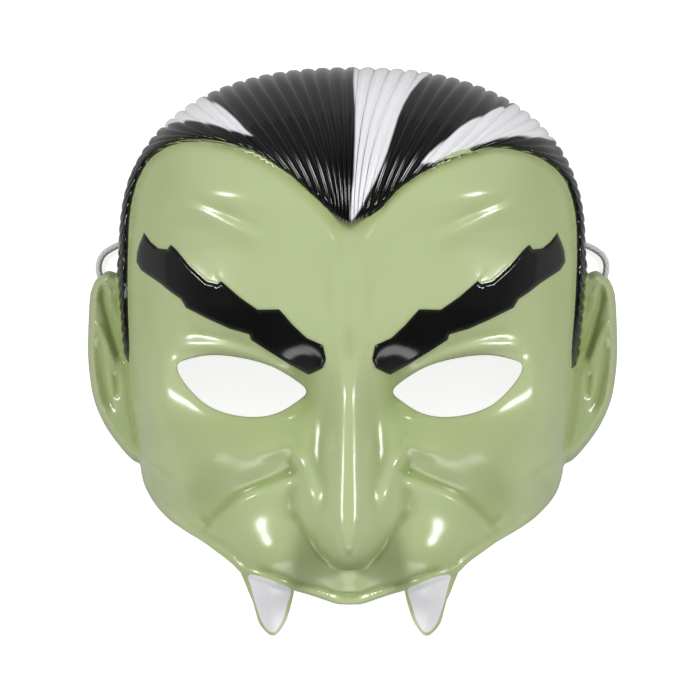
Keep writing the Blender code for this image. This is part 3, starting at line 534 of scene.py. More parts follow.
@dataclass
class Hair:
    """The ribbed hair: its edges, the sweep of its ribs and how far it stands off the head."""

    face: FaceMap
    side: Side
    step: float = 0.0013
    step_width: float = 0.0022
    rib_height: float = 0.0011
    rim_swell: float = 0.12
    ribs: int = 36
    columns_a_rib: int = 6
    rows: int = 40
    bend: float = 0.50
    turn: tuple[float, float] = (0.05, 0.42)
    closer: float = 0.23

    # Hairline of each half: across, down
    left_hairline: Table = (
        (0.000, -0.120), (0.041, -0.150), (0.088, -0.213), (0.175, -0.317), (0.218, -0.366), (0.261, -0.413),
        (0.304, -0.448), (0.347, -0.486), (0.390, -0.519), (0.435, -0.543), (0.560, -0.582), (0.668, -0.592),
        (0.770, -0.572), (0.858, -0.505), (0.906, -0.415), (0.932, -0.328), (0.953, -0.190), (0.959, 0.000),
        (0.961, 0.142), (0.955, 0.270), (0.957, 0.316),
    )
    right_hairline: Table = (
        (0.000, -0.120), (0.048, -0.150), (0.127, -0.213), (0.203, -0.317), (0.252, -0.366), (0.306, -0.413),
        (0.362, -0.448), (0.427, -0.486), (0.483, -0.515), (0.558, -0.543), (0.610, -0.552), (0.668, -0.553),
        (0.760, -0.527), (0.834, -0.485), (0.899, -0.415), (0.937, -0.328), (0.963, -0.190), (0.970, 0.000),
        (0.963, 0.142), (0.948, 0.270), (0.946, 0.334),
    )
    # Outer edge of the sideburn, from the top of the ear down: across, down
    sideburn: Table = (
        (1.010, 0.068), (1.003, 0.085), (0.998, 0.142), (0.989, 0.200), (0.983, 0.256), (0.974, 0.301),
        (0.962, 0.318),
    )
    # Where a rib ends on the rim and where it starts on the hairline, as shares of each edge's length
    flow: Table = (
        (0.00, 0.000), (0.08, 0.020), (0.17, 0.050), (0.24, 0.105), (0.28, 0.150), (0.32, 0.200),
        (0.36, 0.248), (0.45, 0.315), (0.49, 0.355), (0.52, 0.405), (0.58, 0.500), (0.64, 0.575),
        (0.75, 0.690), (0.90, 0.860), (1.00, 1.000),
    )

    def rim_curve(self) -> np.ndarray:
        """Return the edge of the hair, from the middle of the top over the side to the sideburn's tip."""
        turn = np.linspace(0, math.pi / 2, 160)
        power = 2 / Relief.plan_power
        across = np.sin(turn) ** power * self.face.head_half
        up = self.face.temple + np.cos(turn) ** power * self.face.crown_rise
        side = smooth_curve(self.face.places(((1.0, 0.0), (1.0055, 0.035), *self.sideburn)))
        return np.vstack([np.stack([across, up], axis=1), side[1:]])

    def hairline_curve(self) -> np.ndarray:
        """Return the hairline from the widow's peak to the sideburn's tip."""
        table = self.left_hairline if self.side is Side.LEFT else self.right_hairline
        return smooth_curve(self.face.places(table))

    def rib_phase(self) -> tuple[np.ndarray, np.ndarray]:
        """Return each column's share along the rim, and its place across its rib from -1 to 1."""
        count = self.ribs * self.columns_a_rib
        phase = np.arange(count + 1) / count
        along = (-1 + np.sqrt(1 + 4 * self.closer * (1 + self.closer) * phase)) / (2 * self.closer)
        return along, 2 * ((phase * self.ribs + 0.5) % 1.0) - 1

    def patch(self) -> np.ndarray:
        """Return the plan points of the hair, rows from the hairline to the rim, a column along each rib."""
        rim, hairline = self.rim_curve(), self.hairline_curve()
        along, _ = self.rib_phase()
        roots_along = smooth_table(self.flow, 1, along)
        ends = read_curve(rim, along)
        roots = read_curve(hairline, roots_along)
        tangent = read_curve(hairline, np.clip(roots_along + 0.01, 0, 1))
        tangent -= read_curve(hairline, np.clip(roots_along - 0.01, 0, 1))
        tangent /= np.linalg.norm(tangent, axis=1)[:, None]
        turn = ease(*self.turn, along)[:, None]
        start = np.array([[0.0, 1.0]]) * (1 - turn) + tangent * turn
        start /= np.linalg.norm(start, axis=1)[:, None]
        reach = np.linalg.norm(ends - roots, axis=1)[:, None]
        middle = roots + start * reach * self.bend
        share = self.row_shares()[:, None, None]
        points = roots * (1 - share) ** 2 + 2 * middle * share * (1 - share) + ends * share ** 2
        points[:, 0, 0] = 0.0
        return points

    def row_shares(self) -> np.ndarray:
        """Return the rows' places between the hairline and the rim, closer at both."""
        even = np.linspace(0, 1, self.rows + 1)
        return 0.5 * even + 0.5 * np.sin(even * math.pi / 2) ** 1.3

    def lift(self, patch: np.ndarray) -> np.ndarray:
        """Return how far each point stands off the head form: the step at the hairline and the ribs."""
        from_edge = np.linalg.norm(patch - patch[:1], axis=2)
        step = self.step * ease(0, self.step_width, from_edge) * (1 - self.row_shares()[:, None] ** 4)
        _, across = self.rib_phase()
        crest = np.sqrt(np.clip(1 - across ** 2, 0, 1)) - 0.5
        swell = 1 + self.rim_swell * ease(0.3, 1.0, self.row_shares())[:, None]
        return step + self.rib_height * swell * crest[None, :] * ease(0, 2 * self.step_width, from_edge)


@dataclass
class Paint:
    """Where black and white paint lies on the sheet, as distances inside each painted area."""

    face: FaceMap
    relief: Relief
    edge_blur: float = 0.00025
    fade_blur: float = 0.0026
    fade_reach: float = 0.0060

    # White streaks in the hair, by their outlines: across (left is negative), down
    streaks: tuple[Table, ...] = (
        ((-0.640, -0.836), (-0.570, -0.787), (-0.526, -0.743), (-0.480, -0.690), (-0.440, -0.634), (-0.408, -0.601),
         (-0.440, -0.612), (-0.526, -0.645), (-0.612, -0.680), (-0.698, -0.696), (-0.784, -0.683), (-0.850, -0.640),
         (-0.90, -0.72), (-0.76, -0.86)),
        ((0.010, -1.05), (0.012, -0.900), (0.022, -0.765), (0.024, -0.600), (0.020, -0.383), (0.010, -0.273),
         (0.004, -0.191), (0.006, -0.150), (0.018, -0.158), (0.048, -0.215), (0.076, -0.284), (0.108, -0.355),
         (0.136, -0.437), (0.160, -0.519), (0.186, -0.628), (0.205, -0.710), (0.226, -0.776), (0.256, -0.847),
         (0.298, -0.918), (0.335, -0.962), (0.36, -1.05)),
        ((0.700, -0.800), (0.668, -0.779), (0.637, -0.770), (0.594, -0.743), (0.551, -0.713), (0.508, -0.686),
         (0.465, -0.650), (0.422, -0.601), (0.378, -0.557), (0.335, -0.508), (0.300, -0.452), (0.357, -0.464),
         (0.400, -0.486), (0.443, -0.508), (0.486, -0.530), (0.529, -0.552), (0.572, -0.568), (0.615, -0.587),
         (0.658, -0.601), (0.700, -0.607), (0.787, -0.609), (0.850, -0.595), (0.90, -0.60), (0.82, -0.78)),
    )
    # White of a fang, inside its green border: offset from its middle over its half width, down
    fang: Table = (
        (0.80, 0.916), (0.74, 0.945), (0.66, 0.972), (0.54, 1.008), (0.37, 1.048), (0.17, 1.072),
        (0.00, 1.078), (-0.15, 1.070), (-0.36, 1.037), (-0.51, 0.994), (-0.62, 0.957), (-0.22, 0.940),
        (0.30, 0.922),
    )

    # Where the green is darker in the hollows, partly the sheet's own darker spray and partly painted shade:
    # across, down, reach across, reach down, strength
    sprays_and_shades: Table = (
        (0.90, 0.05, 0.13, 0.32, 0.55),
        (0.84, -0.40, 0.14, 0.26, 0.55),
        (0.46, 0.50, 0.30, 0.075, 0.55),
        (0.22, 0.44, 0.09, 0.16, 0.50),
        (0.36, 0.88, 0.26, 0.12, 0.40),
        (0.60, 0.70, 0.12, 0.08, 0.40),
        (1.03, 0.25, 0.10, 0.16, 0.55),
    )

    def spray_and_shade(self, points: np.ndarray) -> np.ndarray:
        """Return how much darker the green is at plan points, from 0 to 1: partly the sheet's own darker spray,
        partly painted shade in the hollows.
        """
        across = np.abs(points[:, 0]) / self.face.head_half
        down = self.face.down_of(points[:, 1])
        total = np.zeros(len(points))
        for middle, level, wide, tall, strength in self.sprays_and_shades:
            total += strength * np.exp(-((across - middle) / wide) ** 2 - ((down - level) / tall) ** 2)
        return np.clip(total, 0, 1)

    def fang_loop(self) -> np.ndarray:
        """Return the outline of a fang's white."""
        return smooth_curve([self.face.fang_place(*row) for row in self.fang], closed=True, fineness=6)

    def streak_loops(self) -> list[np.ndarray]:
        """Return the outlines of the white streaks."""
        return [np.array(self.face.places(rows)) for rows in self.streaks]

    def fade(self, points: np.ndarray) -> np.ndarray:
        """Return the blur of the black's edge: soft at the widow's peak, sharp elsewhere."""
        peak = np.array(self.face.place(0.0, Hair.left_hairline[0][1]))
        near = np.exp(-(np.linalg.norm(points - peak, axis=1) / self.fade_reach) ** 2)
        return self.edge_blur + (self.fade_blur - self.edge_blur) * near

    def black_on_face(self, points: np.ndarray, hairline: np.ndarray) -> np.ndarray:
        """Return how deep in the black paint points of the green part lie, in blurs."""
        near = np.stack([np.abs(points[:, 0]), points[:, 1]], axis=1)
        brow = depth_inside(near, self.relief.brow_loop()) / self.edge_blur
        hair = -distance_to(points, hairline) / self.fade(points)
        return np.maximum(brow, hair)

    def white_on_face(self, points: np.ndarray) -> np.ndarray:
        """Return how deep in the fangs' white points of the green part lie, in blurs."""
        near = np.stack([np.abs(points[:, 0]), points[:, 1]], axis=1)
        return depth_inside(near, self.fang_loop()) / self.edge_blur

    def white_on_hair(self, points: np.ndarray) -> np.ndarray:
        """Return how deep in a white streak points of the hair lie, in blurs."""
        depths = [depth_inside(points, loop) for loop in self.streak_loops()]
        return np.max(depths, axis=0) / (2 * self.edge_blur)


@dataclass(frozen=True)
class Gloss:
    """A painted gloss: its colour and how rough its surface is."""

    color: tuple[float, float, float]
    roughness: float


def link(tree: bpy.types.NodeTree, source: bpy.types.NodeSocket, target: bpy.types.NodeSocket) -> None:
    """Join two sockets."""
    tree.links.new(source, target)


def add_node(tree: bpy.types.NodeTree, kind: str, **settings: object) -> bpy.types.Node:
    """Add a node and set its properties.

    Args:
        tree: The tree that it goes in.
        kind: The node's type.
        **settings: Properties of the node by name.

    Returns:
        The node.
    """
    node = tree.nodes.new(kind)
    for name, value in settings.items():
        setattr(node, name, value)
    return node


@dataclass(frozen=True)
class FormedPlastic:
    """The sheet's finish: glossy green plastic, with black and white paint over it."""

    green: Gloss = Gloss((0.436, 0.506, 0.268), 0.225)
    # Colour of the hollows: partly the sheet's own olive tint, partly painted shade.
    olive_tint_and_shade: Gloss = Gloss((0.330, 0.400, 0.165), 0.22)
    black: Gloss = Gloss((0.0022, 0.0022, 0.0021), 0.15)
    white: Gloss = Gloss((0.80, 0.80, 0.825), 0.26)

    def attribute(self, tree: bpy.types.NodeTree, name: str) -> bpy.types.NodeSocket:
        """Return the socket of a painted attribute."""
        return add_node(tree, "ShaderNodeAttribute", attribute_name=name).outputs["Fac"]

    def cover(self, tree: bpy.types.NodeTree, name: str) -> bpy.types.NodeSocket:
        """Return how far a paint covers the sheet, from its distance attribute."""
        ramp = add_node(tree, "ShaderNodeMapRange", interpolation_type="SMOOTHSTEP")
        ramp.inputs["From Min"].default_value = -1.0
        ramp.inputs["From Max"].default_value = 1.0
        link(tree, self.attribute(tree, name), ramp.inputs["Value"])
        return ramp.outputs["Result"]

    def mix(self, tree: bpy.types.NodeTree, share: bpy.types.NodeSocket, under: object, over: object) -> object:
        """Lay one colour over another by a share, and return the socket of the result."""
        node = add_node(tree, "ShaderNodeMix", data_type="RGBA")
        link(tree, share, node.inputs["Factor"])
        for value, socket in ((under, node.inputs["A"]), (over, node.inputs["B"])):
            if isinstance(value, bpy.types.NodeSocket):
                link(tree, value, socket)
            else:
                socket.default_value = (*value, 1.0)
        return node.outputs["Result"]

    def blend(self, tree: bpy.types.NodeTree, share: bpy.types.NodeSocket, under: object, over: float) -> object:
        """Lay one number over another by a share, and return the socket of the result."""
        node = add_node(tree, "ShaderNodeMix", data_type="FLOAT")
        link(tree, share, node.inputs["Factor"])
        if isinstance(under, bpy.types.NodeSocket):
            link(tree, under, node.inputs["A"])
        else:
            node.inputs["A"].default_value = under
        node.inputs["B"].default_value = over
        return node.outputs["Result"]

    def noise(self, tree: bpy.types.NodeTree, scale: float, detail: float) -> bpy.types.NodeSocket:
        """Return a noise over the object's own coordinates."""
        place = add_node(tree, "ShaderNodeTexCoord").outputs["Object"]
        node = add_node(tree, "ShaderNodeTexNoise")
        node.inputs["Scale"].default_value = scale
        node.inputs["Detail"].default_value = detail
        link(tree, place, node.inputs["Vector"])
        return node.outputs["Fac"]

    def material(self) -> bpy.types.Material:
        """Return the material of the whole sheet."""
        made = bpy.data.materials.new("formed_plastic")
        made.use_nodes = True
        tree = made.node_tree
        shader = tree.nodes["Principled BSDF"]
        cloud = self.noise(tree, 26.0, 3.0)
        pale = tuple(channel * 1.06 for channel in self.green.color)
        skin = self.mix(tree, cloud, self.green.color, pale)
        # Olive in the hollows: partly the sheet's own tint, partly painted shade where the relief is concave.
        skin = self.mix(tree, self.attribute(tree, "hollow_tint_and_shade"), skin, self.olive_tint_and_shade.color)
        black = self.cover(tree, "black")
        white = self.cover(tree, "white")
        dusty = self.mix(tree, self.noise(tree, 90.0, 4.0), self.black.color, (0.007, 0.0068, 0.0065))
        color = self.mix(tree, black, skin, dusty)
        color = self.mix(tree, white, color, self.white.color)
        rough = self.blend(tree, black, self.green.roughness, self.black.roughness)
        rough = self.blend(tree, white, rough, self.white.roughness)
        link(tree, color, shader.inputs["Base Color"])
        link(tree, rough, shader.inputs["Roughness"])
        shader.inputs["IOR"].default_value = 1.5
        shader.inputs["Specular IOR Level"].default_value = 0.40
        shader.inputs["Coat Weight"].default_value = 0.0
        bump = add_node(tree, "ShaderNodeBump")
        bump.inputs["Strength"].default_value = 0.05
        bump.inputs["Distance"].default_value = 0.0004
        link(tree, self.noise(tree, 240.0, 2.0), bump.inputs["Height"])
        link(tree, bump.outputs["Normal"], shader.inputs["Normal"])
        return made


@dataclass
class MaskSheet:
    """The whole mask in one formed sheet, with its wall, its eye holes and its paint."""

    face: FaceMap
    relief: Relief
    paint: Paint
    wall: float = 0.0009
    edge_step: float = 0.0009
    edge_rows: tuple[float, ...] = (0.0003, 0.0007, 0.0012, 0.0019, 0.0028)
    brow_rows: tuple[float, ...] = (-0.0015, -0.0010, -0.0005, 0.0005, 0.0010, 0.0015)
    merge: float = 0.000004
    rim_slack: float = 0.0008
    # How concave a place must be to take the full olive tint and painted shade.
    deep_hollow: float = 130.0

    # Fang and its green border: offset from its middle over its half width, down
    fang: Table = (
        (1.07, 0.909), (0.93, 0.938), (0.80, 0.966), (0.66, 0.994), (0.47, 1.051), (0.20, 1.080),
        (0.00, 1.088), (-0.17, 1.080), (-0.41, 1.051), (-0.54, 1.023), (-0.64, 0.994), (-0.71, 0.966),
    )
    hairs: dict[Side, Hair] = field(default_factory=dict)

    def half_border(self, hair: Hair) -> tuple[np.ndarray, int]:
        """Return the border of the green part of one half, from the lip's middle to the widow's peak.

        Args:
            hair: The hair of that half.

        Returns:
            The border's points at positive X, and how many of them lie on the free edge.
        """
        patch = hair.patch()
        rim_row, root_row = patch[-1], patch[0]
        ear_top = int(np.argmin(np.linalg.norm(rim_row - self.face.ear_place(*self.relief.ear[0]), axis=1)))
        lip = even_points(smooth_curve(self.face.places(self.relief.lip)), self.edge_step)[::-1]
        fang = even_points(smooth_curve([self.face.fang_place(*row) for row in self.fang]), self.edge_step)[::-1]
        jaw = even_points(smooth_curve(self.face.places(self.relief.jaw)), self.edge_step)[::-1]
        ear = even_points(self.relief.ear_curve(), self.edge_step)[::-1]
        free = np.vstack([lip, fang[1:], jaw[1:], ear[1:-1]])
        loop = np.vstack([free, rim_row[ear_top:], root_row[::-1]])
        apart = np.linalg.norm(np.diff(loop, axis=0), axis=1) > self.merge
        return loop[np.concatenate([[True], apart])], len(free)

    def face_border(self) -> tuple[np.ndarray, np.ndarray]:
        """Return the closed border of the green part, and its free edge of the right half."""
        right, free = self.half_border(self.hairs[Side.RIGHT])
        left, _ = self.half_border(self.hairs[Side.LEFT])
        left = left[1:-1][::-1] * (-1, 1)
        return np.vstack([right, left]), right[:free]

    def rows_inside(self, edge: np.ndarray, loop: np.ndarray, distances: Sequence[float]) -> np.ndarray:
        """Return points in rows at set distances inside a stretch of the border."""
        along = np.gradient(edge, axis=0)
        along /= np.linalg.norm(along, axis=1)[:, None] + TINY
        side = np.stack([-along[:, 1], along[:, 0]], axis=1)
        rows = []
        for distance in distances:
            moved = edge + side * distance
            keep = depth_inside(moved, loop) > 0.85 * distance
            rows.append(moved[keep])
        return np.vstack(rows)

    @staticmethod
    def ring_rows(ring: np.ndarray, distances: Sequence[float]) -> np.ndarray:
        """Return points in rows at set distances on both sides of a closed line."""
        along = np.roll(ring, -1, axis=0) - np.roll(ring, 1, axis=0)
        along /= np.linalg.norm(along, axis=1)[:, None]
        side = np.stack([-along[:, 1], along[:, 0]], axis=1)
        closed = np.vstack([ring, ring[:1]])
        rows = []
        for distance in distances:
            moved = ring + side * distance
            rows.append(moved[distance_to(moved, closed) > 0.85 * abs(distance)])
        return np.vstack(rows)

    def wants_fine(self, points: np.ndarray) -> np.ndarray:
        """Tell which plan points lie where the relief is small and needs closer points."""
        near = np.stack([np.abs(points[:, 0]), points[:, 1]], axis=1)
        down = self.face.down_of(points[:, 1])
        across = near[:, 0] / self.face.head_half
        brow = self.relief.brow_loop()
        eye = self.relief.eye_loop()
        fine = distance_to(near, np.vstack([brow, brow[:1]])) < 0.0030
        fine |= distance_to(near, np.vstack([eye, eye[:1]])) < 0.0040
        fine |= distance_to(near, smooth_curve(self.face.places(self.relief.creases[0].path), fineness=4)) < 0.0050
        fine |= (across < 0.27) & (down > 0.36) & (down < 0.97)
        fine |= (across > 0.78) & (down > 0.0)
        fine |= down > 0.90
        return fine

    def lattice(self, loop: np.ndarray, keep_off: Sequence[np.ndarray], rows: np.ndarray) -> np.ndarray:
        """Return a lattice of plan points inside the border, closer where the relief is small.

        Args:
            loop: The closed border of the green part.
            keep_off: Inner edges that have points of their own.
            rows: Points that are already set along the border.

        Returns:
            The lattice's points.
        """
        step = Fineness.FINE.value
        low, high = loop.min(axis=0), loop.max(axis=0)
        levels = np.arange(low[1], high[1], step * math.sqrt(3) / 2)
        numbers = np.arange(round((high[0] - low[0]) / step) + 1)
        row, column = np.meshgrid(np.arange(len(levels)), numbers, indexing="ij")
        grid = np.stack([low[0] + (column + 0.5 * (row % 2)) * step, levels[row]], axis=-1).reshape(-1, 2)
        coarse = ((row % 2 == 0) & (column % 2 == (row // 2) % 2)).reshape(-1)
        room = inside(grid, loop)
        grid, coarse = grid[room], coarse[room]
        chosen = coarse | self.wants_fine(grid)
        grid = grid[chosen]
        clear = distance_to(grid, np.vstack([loop, loop[:1]])) > 0.55 * step
        for edge in keep_off:
            clear &= distance_to(grid, np.vstack([edge, edge[:1]])) > 0.5 * step
        grid = grid[clear]
        cell = {}
        for point in rows:
            cell.setdefault((int(point[0] // step), int(point[1] // step)), []).append(point)
        return np.array([point for point in grid if not self.crowded(point, cell, step)])

    @staticmethod
    def crowded(point: np.ndarray, cell: dict, step: float) -> bool:
        """Tell whether a point lies too close to those already set."""
        i, j = int(point[0] // step), int(point[1] // step)
        for a in (i - 1, i, i + 1):
            for b in (j - 1, j, j + 1):
                for other in cell.get((a, b), ()):
                    if abs(other[0] - point[0]) + abs(other[1] - point[1]) < 0.7 * step:
                        return True
        return False

    def add_face_part(self, bm: bmesh.types.BMesh) -> None:
        """Add the green part with its brows, ears and fangs to the mesh."""
        loop, free = self.face_border()
        eyes, brows, tops = [], [], []
        eye = even_points(np.vstack([self.relief.eye_loop(), self.relief.eye_loop()[:1]]), self.edge_step)[:-1]
        brow = self.relief.brow_loop()
        brow = even_points(np.vstack([brow, brow[:1]]), self.edge_step)[:-1]
        for side in Side:
            eyes.append(eye * (side.value, 1))
            brows.append(brow * (side.value, 1))
        rows = [self.rows_inside(free, loop, self.edge_rows)]
        rows.append(rows[0] * (-1, 1))
        rows += [self.ring_rows(brow, self.brow_rows) for brow in brows]
        rows = np.vstack(rows)
        points = np.vstack([rows, self.lattice(loop, [*eyes, *brows], rows)])
        plan, faces = self.triangulate(loop, eyes, brows, points)
        heights = self.relief.height(plan)
        hairline = np.vstack([self.hairs[Side.LEFT].patch()[0][::-1] * (-1, 1), self.hairs[Side.RIGHT].patch()[0]])
        black = self.paint.black_on_face(plan, hairline)
        white = self.paint.white_on_face(plan)
        self.add_points(bm, np.column_stack([plan, heights]), faces, black, white)

    @staticmethod
    def triangulate(
        loop: np.ndarray, holes: Sequence[np.ndarray], edges: Sequence[np.ndarray], points: np.ndarray
    ) -> tuple[np.ndarray, np.ndarray]:
        """Fill the region inside the loop and outside the holes.

        Args:
            loop: The outer border.
            holes: The borders of the holes.
            edges: Closed lines that the triangles follow.
            points: Single points to use.

        Returns:
            The plan points and the triangles.
        """
        groups = [loop, *holes, *edges]
        flat = [Vector(p) for group in groups for p in group] + [Vector(p) for p in points]
        links = []
        start = 0
        for group in groups:
            links += [(start + i, start + (i + 1) % len(group)) for i in range(len(group))]
            start += len(group)
        verts, _, faces, *_ = delaunay_2d_cdt(flat, links, [], 0, 1e-8)
        plan = np.array([tuple(v) for v in verts])
        faces = np.array([tuple(face) for face in faces if len(face) == 3])
        middles = plan[faces].mean(axis=1)
        keep = inside(middles, loop)
        for hole in holes:
            keep &= ~inside(middles, hole)
        return plan, faces[keep]

    def add_points(
        self, bm: bmesh.types.BMesh, places: np.ndarray, faces: np.ndarray, black: np.ndarray, white: np.ndarray
    ) -> None:
        """Add points with their paint, and the faces between them, to the mesh."""
        black_layer = bm.verts.layers.float["black"]
        white_layer = bm.verts.layers.float["white"]
        verts = []
        for place, dark, light in zip(places, black, white):
            vert = bm.verts.new(place)
            vert[black_layer] = float(np.clip(dark, -40, 40))
            vert[white_layer] = float(np.clip(light, -40, 40))
            verts.append(vert)
        for face in faces:
            bm.faces.new([verts[i] for i in face])

    def add_hair_part(self, bm: bmesh.types.BMesh, hair: Hair) -> None:
        """Add the ribbed hair of one half to the mesh."""
        sign = hair.side.value
        patch = hair.patch()
        rows, columns, _ = patch.shape
        flat = patch.reshape(-1, 2)
        normals = self.relief.normals(flat)
        heights = self.relief.height(flat)
        on_rim = np.repeat(np.arange(rows) == rows - 1, columns)
        at_rim = on_rim & (heights < self.relief.rim_height(flat[:, 1]) + self.rim_slack)
        heights[at_rim] = self.relief.rim_height(flat[at_rim, 1])
        normals[at_rim, 2] = 0.0
        normals /= np.linalg.norm(normals, axis=1)[:, None]
        lift = hair.lift(patch).reshape(-1)
        lift[on_rim & ~at_rim] = 0.0
        places = np.column_stack([flat, heights]) + normals * lift[:, None]
        places[np.abs(flat[:, 0]) < TINY, 0] = 0.0
        places *= (sign, 1, 1)
        root = distance_to(flat, patch[0])
        outer = distance_to(flat, patch[-1][patch[-1][:, 1] < self.face.ear_place(*self.relief.ear[0])[1]])
        black = np.minimum(root, outer) / self.paint.edge_blur + 0.6
        fade = self.paint.fade(flat * (sign, 1))
        black = np.where(fade > 2 * self.paint.edge_blur, root / fade, black)
        white = self.paint.white_on_hair(flat * (sign, 1))
        corners = [
            (r * columns + c, r * columns + c + 1, (r + 1) * columns + c + 1, (r + 1) * columns + c)
            for r in range(rows - 1) for c in range(columns - 1)
        ]
        self.add_points(bm, places, np.array(corners), black, white)

    def add_wall(self, bm: bmesh.types.BMesh) -> None:
        """Give the open sheet its thickness, inwards, with a flat foot where it meets the ground."""
        bm.normal_update()
        outer = list(bm.verts)
        border = [edge for edge in bm.edges if edge.is_boundary]
        rim = {vert for edge in border for vert in edge.verts}
        black, white = bm.verts.layers.float["black"], bm.verts.layers.float["white"]
        inner = {}
        for vert in outer:
            normal = vert.normal.copy()
            low = float(self.relief.rim_height(np.array([vert.co.y]))[0]) if vert in rim else 0.0
            if vert in rim and vert.co.z < low + 0.0001:
                normal.z = 0.0
                normal.normalize()
            made = bm.verts.new(vert.co - normal * self.wall)
            made.co.z = max(made.co.z, 0.0)
            made[black] = made[white] = -40.0
            inner[vert] = made
        for face in list(bm.faces):
            bm.faces.new([inner[vert] for vert in reversed(face.verts)])
        for edge in border:
            loop = edge.link_loops[0]
            a, b = loop.vert, loop.link_loop_next.vert
            made = bm.faces.new([b, a, inner[a], inner[b]])
            made.smooth = False

    def mark_hollow_tint_and_shade(self, bm: bmesh.types.BMesh) -> None:
        """Mark how deep each outer point lies in a hollow of the relief, with the darker spots added, for the olive
        tint there: partly the sheet's own tint, partly painted shade in the hollows.
        """
        layer = bm.verts.layers.float["hollow_tint_and_shade"]
        bm.normal_update()
        values = {}
        for vert in bm.verts:
            linked = [edge.other_vert(vert) for edge in vert.link_edges]
            pull = sum(((other.co - vert.co).dot(vert.normal) for other in linked), 0.0)
            span = sum((other.co - vert.co).length_squared for other in linked)
            values[vert] = 2 * pull / max(span, 1e-12)
        for _ in range(6):
            values = {
                vert: 0.4 * value + 0.6 * sum(values[edge.other_vert(vert)] for edge in vert.link_edges)
                / max(len(vert.link_edges), 1)
                for vert, value in values.items()
            }
        sprays_and_shades = self.paint.spray_and_shade(np.array([vert.co.xy for vert in values]))
        for (vert, value), spray_and_shade in zip(values.items(), sprays_and_shades):
            # Concave places and the listed spots turn olive and darker: painted shade, partly the sheet's own tint.
            vert[layer] = min(max(value / self.deep_hollow, 0.0) + spray_and_shade, 1.0)

    def build(self) -> bpy.types.Object:
        """Build the sheet and its finish, and return its object."""
        bm = bmesh.new()
        for name in ("black", "white", "hollow_tint_and_shade"):
            bm.verts.layers.float.new(name)
        self.add_face_part(bm)
        for hair in self.hairs.values():
            self.add_hair_part(bm, hair)
        bmesh.ops.remove_doubles(bm, verts=bm.verts, dist=self.merge)
        bmesh.ops.recalc_face_normals(bm, faces=bm.faces)
        if sum(face.normal.z * face.calc_area() for face in bm.faces) < 0:
            bmesh.ops.reverse_faces(bm, faces=bm.faces)
        for face in bm.faces:
            face.smooth = True
        self.mark_hollow_tint_and_shade(bm)
        self.add_wall(bm)
        return finish_piece("mask_sheet", bm, FormedPlastic().material(), "mask_shell")


def finish_piece(
    name: str, bm: bmesh.types.BMesh, material: bpy.types.Material, node: str
) -> bpy.types.Object:
    """Turn a mesh into a piece of the object.

    Args:
        name: The piece's name.
        bm: Its mesh.
        material: Its finish.
        node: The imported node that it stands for.

    Returns:
        The piece's object.
    """
    mesh = bpy.data.meshes.new(name)
    bm.to_mesh(mesh)
    bm.free()
    mesh.materials.append(material)
    piece = bpy.data.objects.new(name, mesh)
    bpy.context.collection.objects.link(piece)
    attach(piece, "root")
    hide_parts(node)
    LOG.info("%s: %d faces", name, len(mesh.polygons))
    return piece


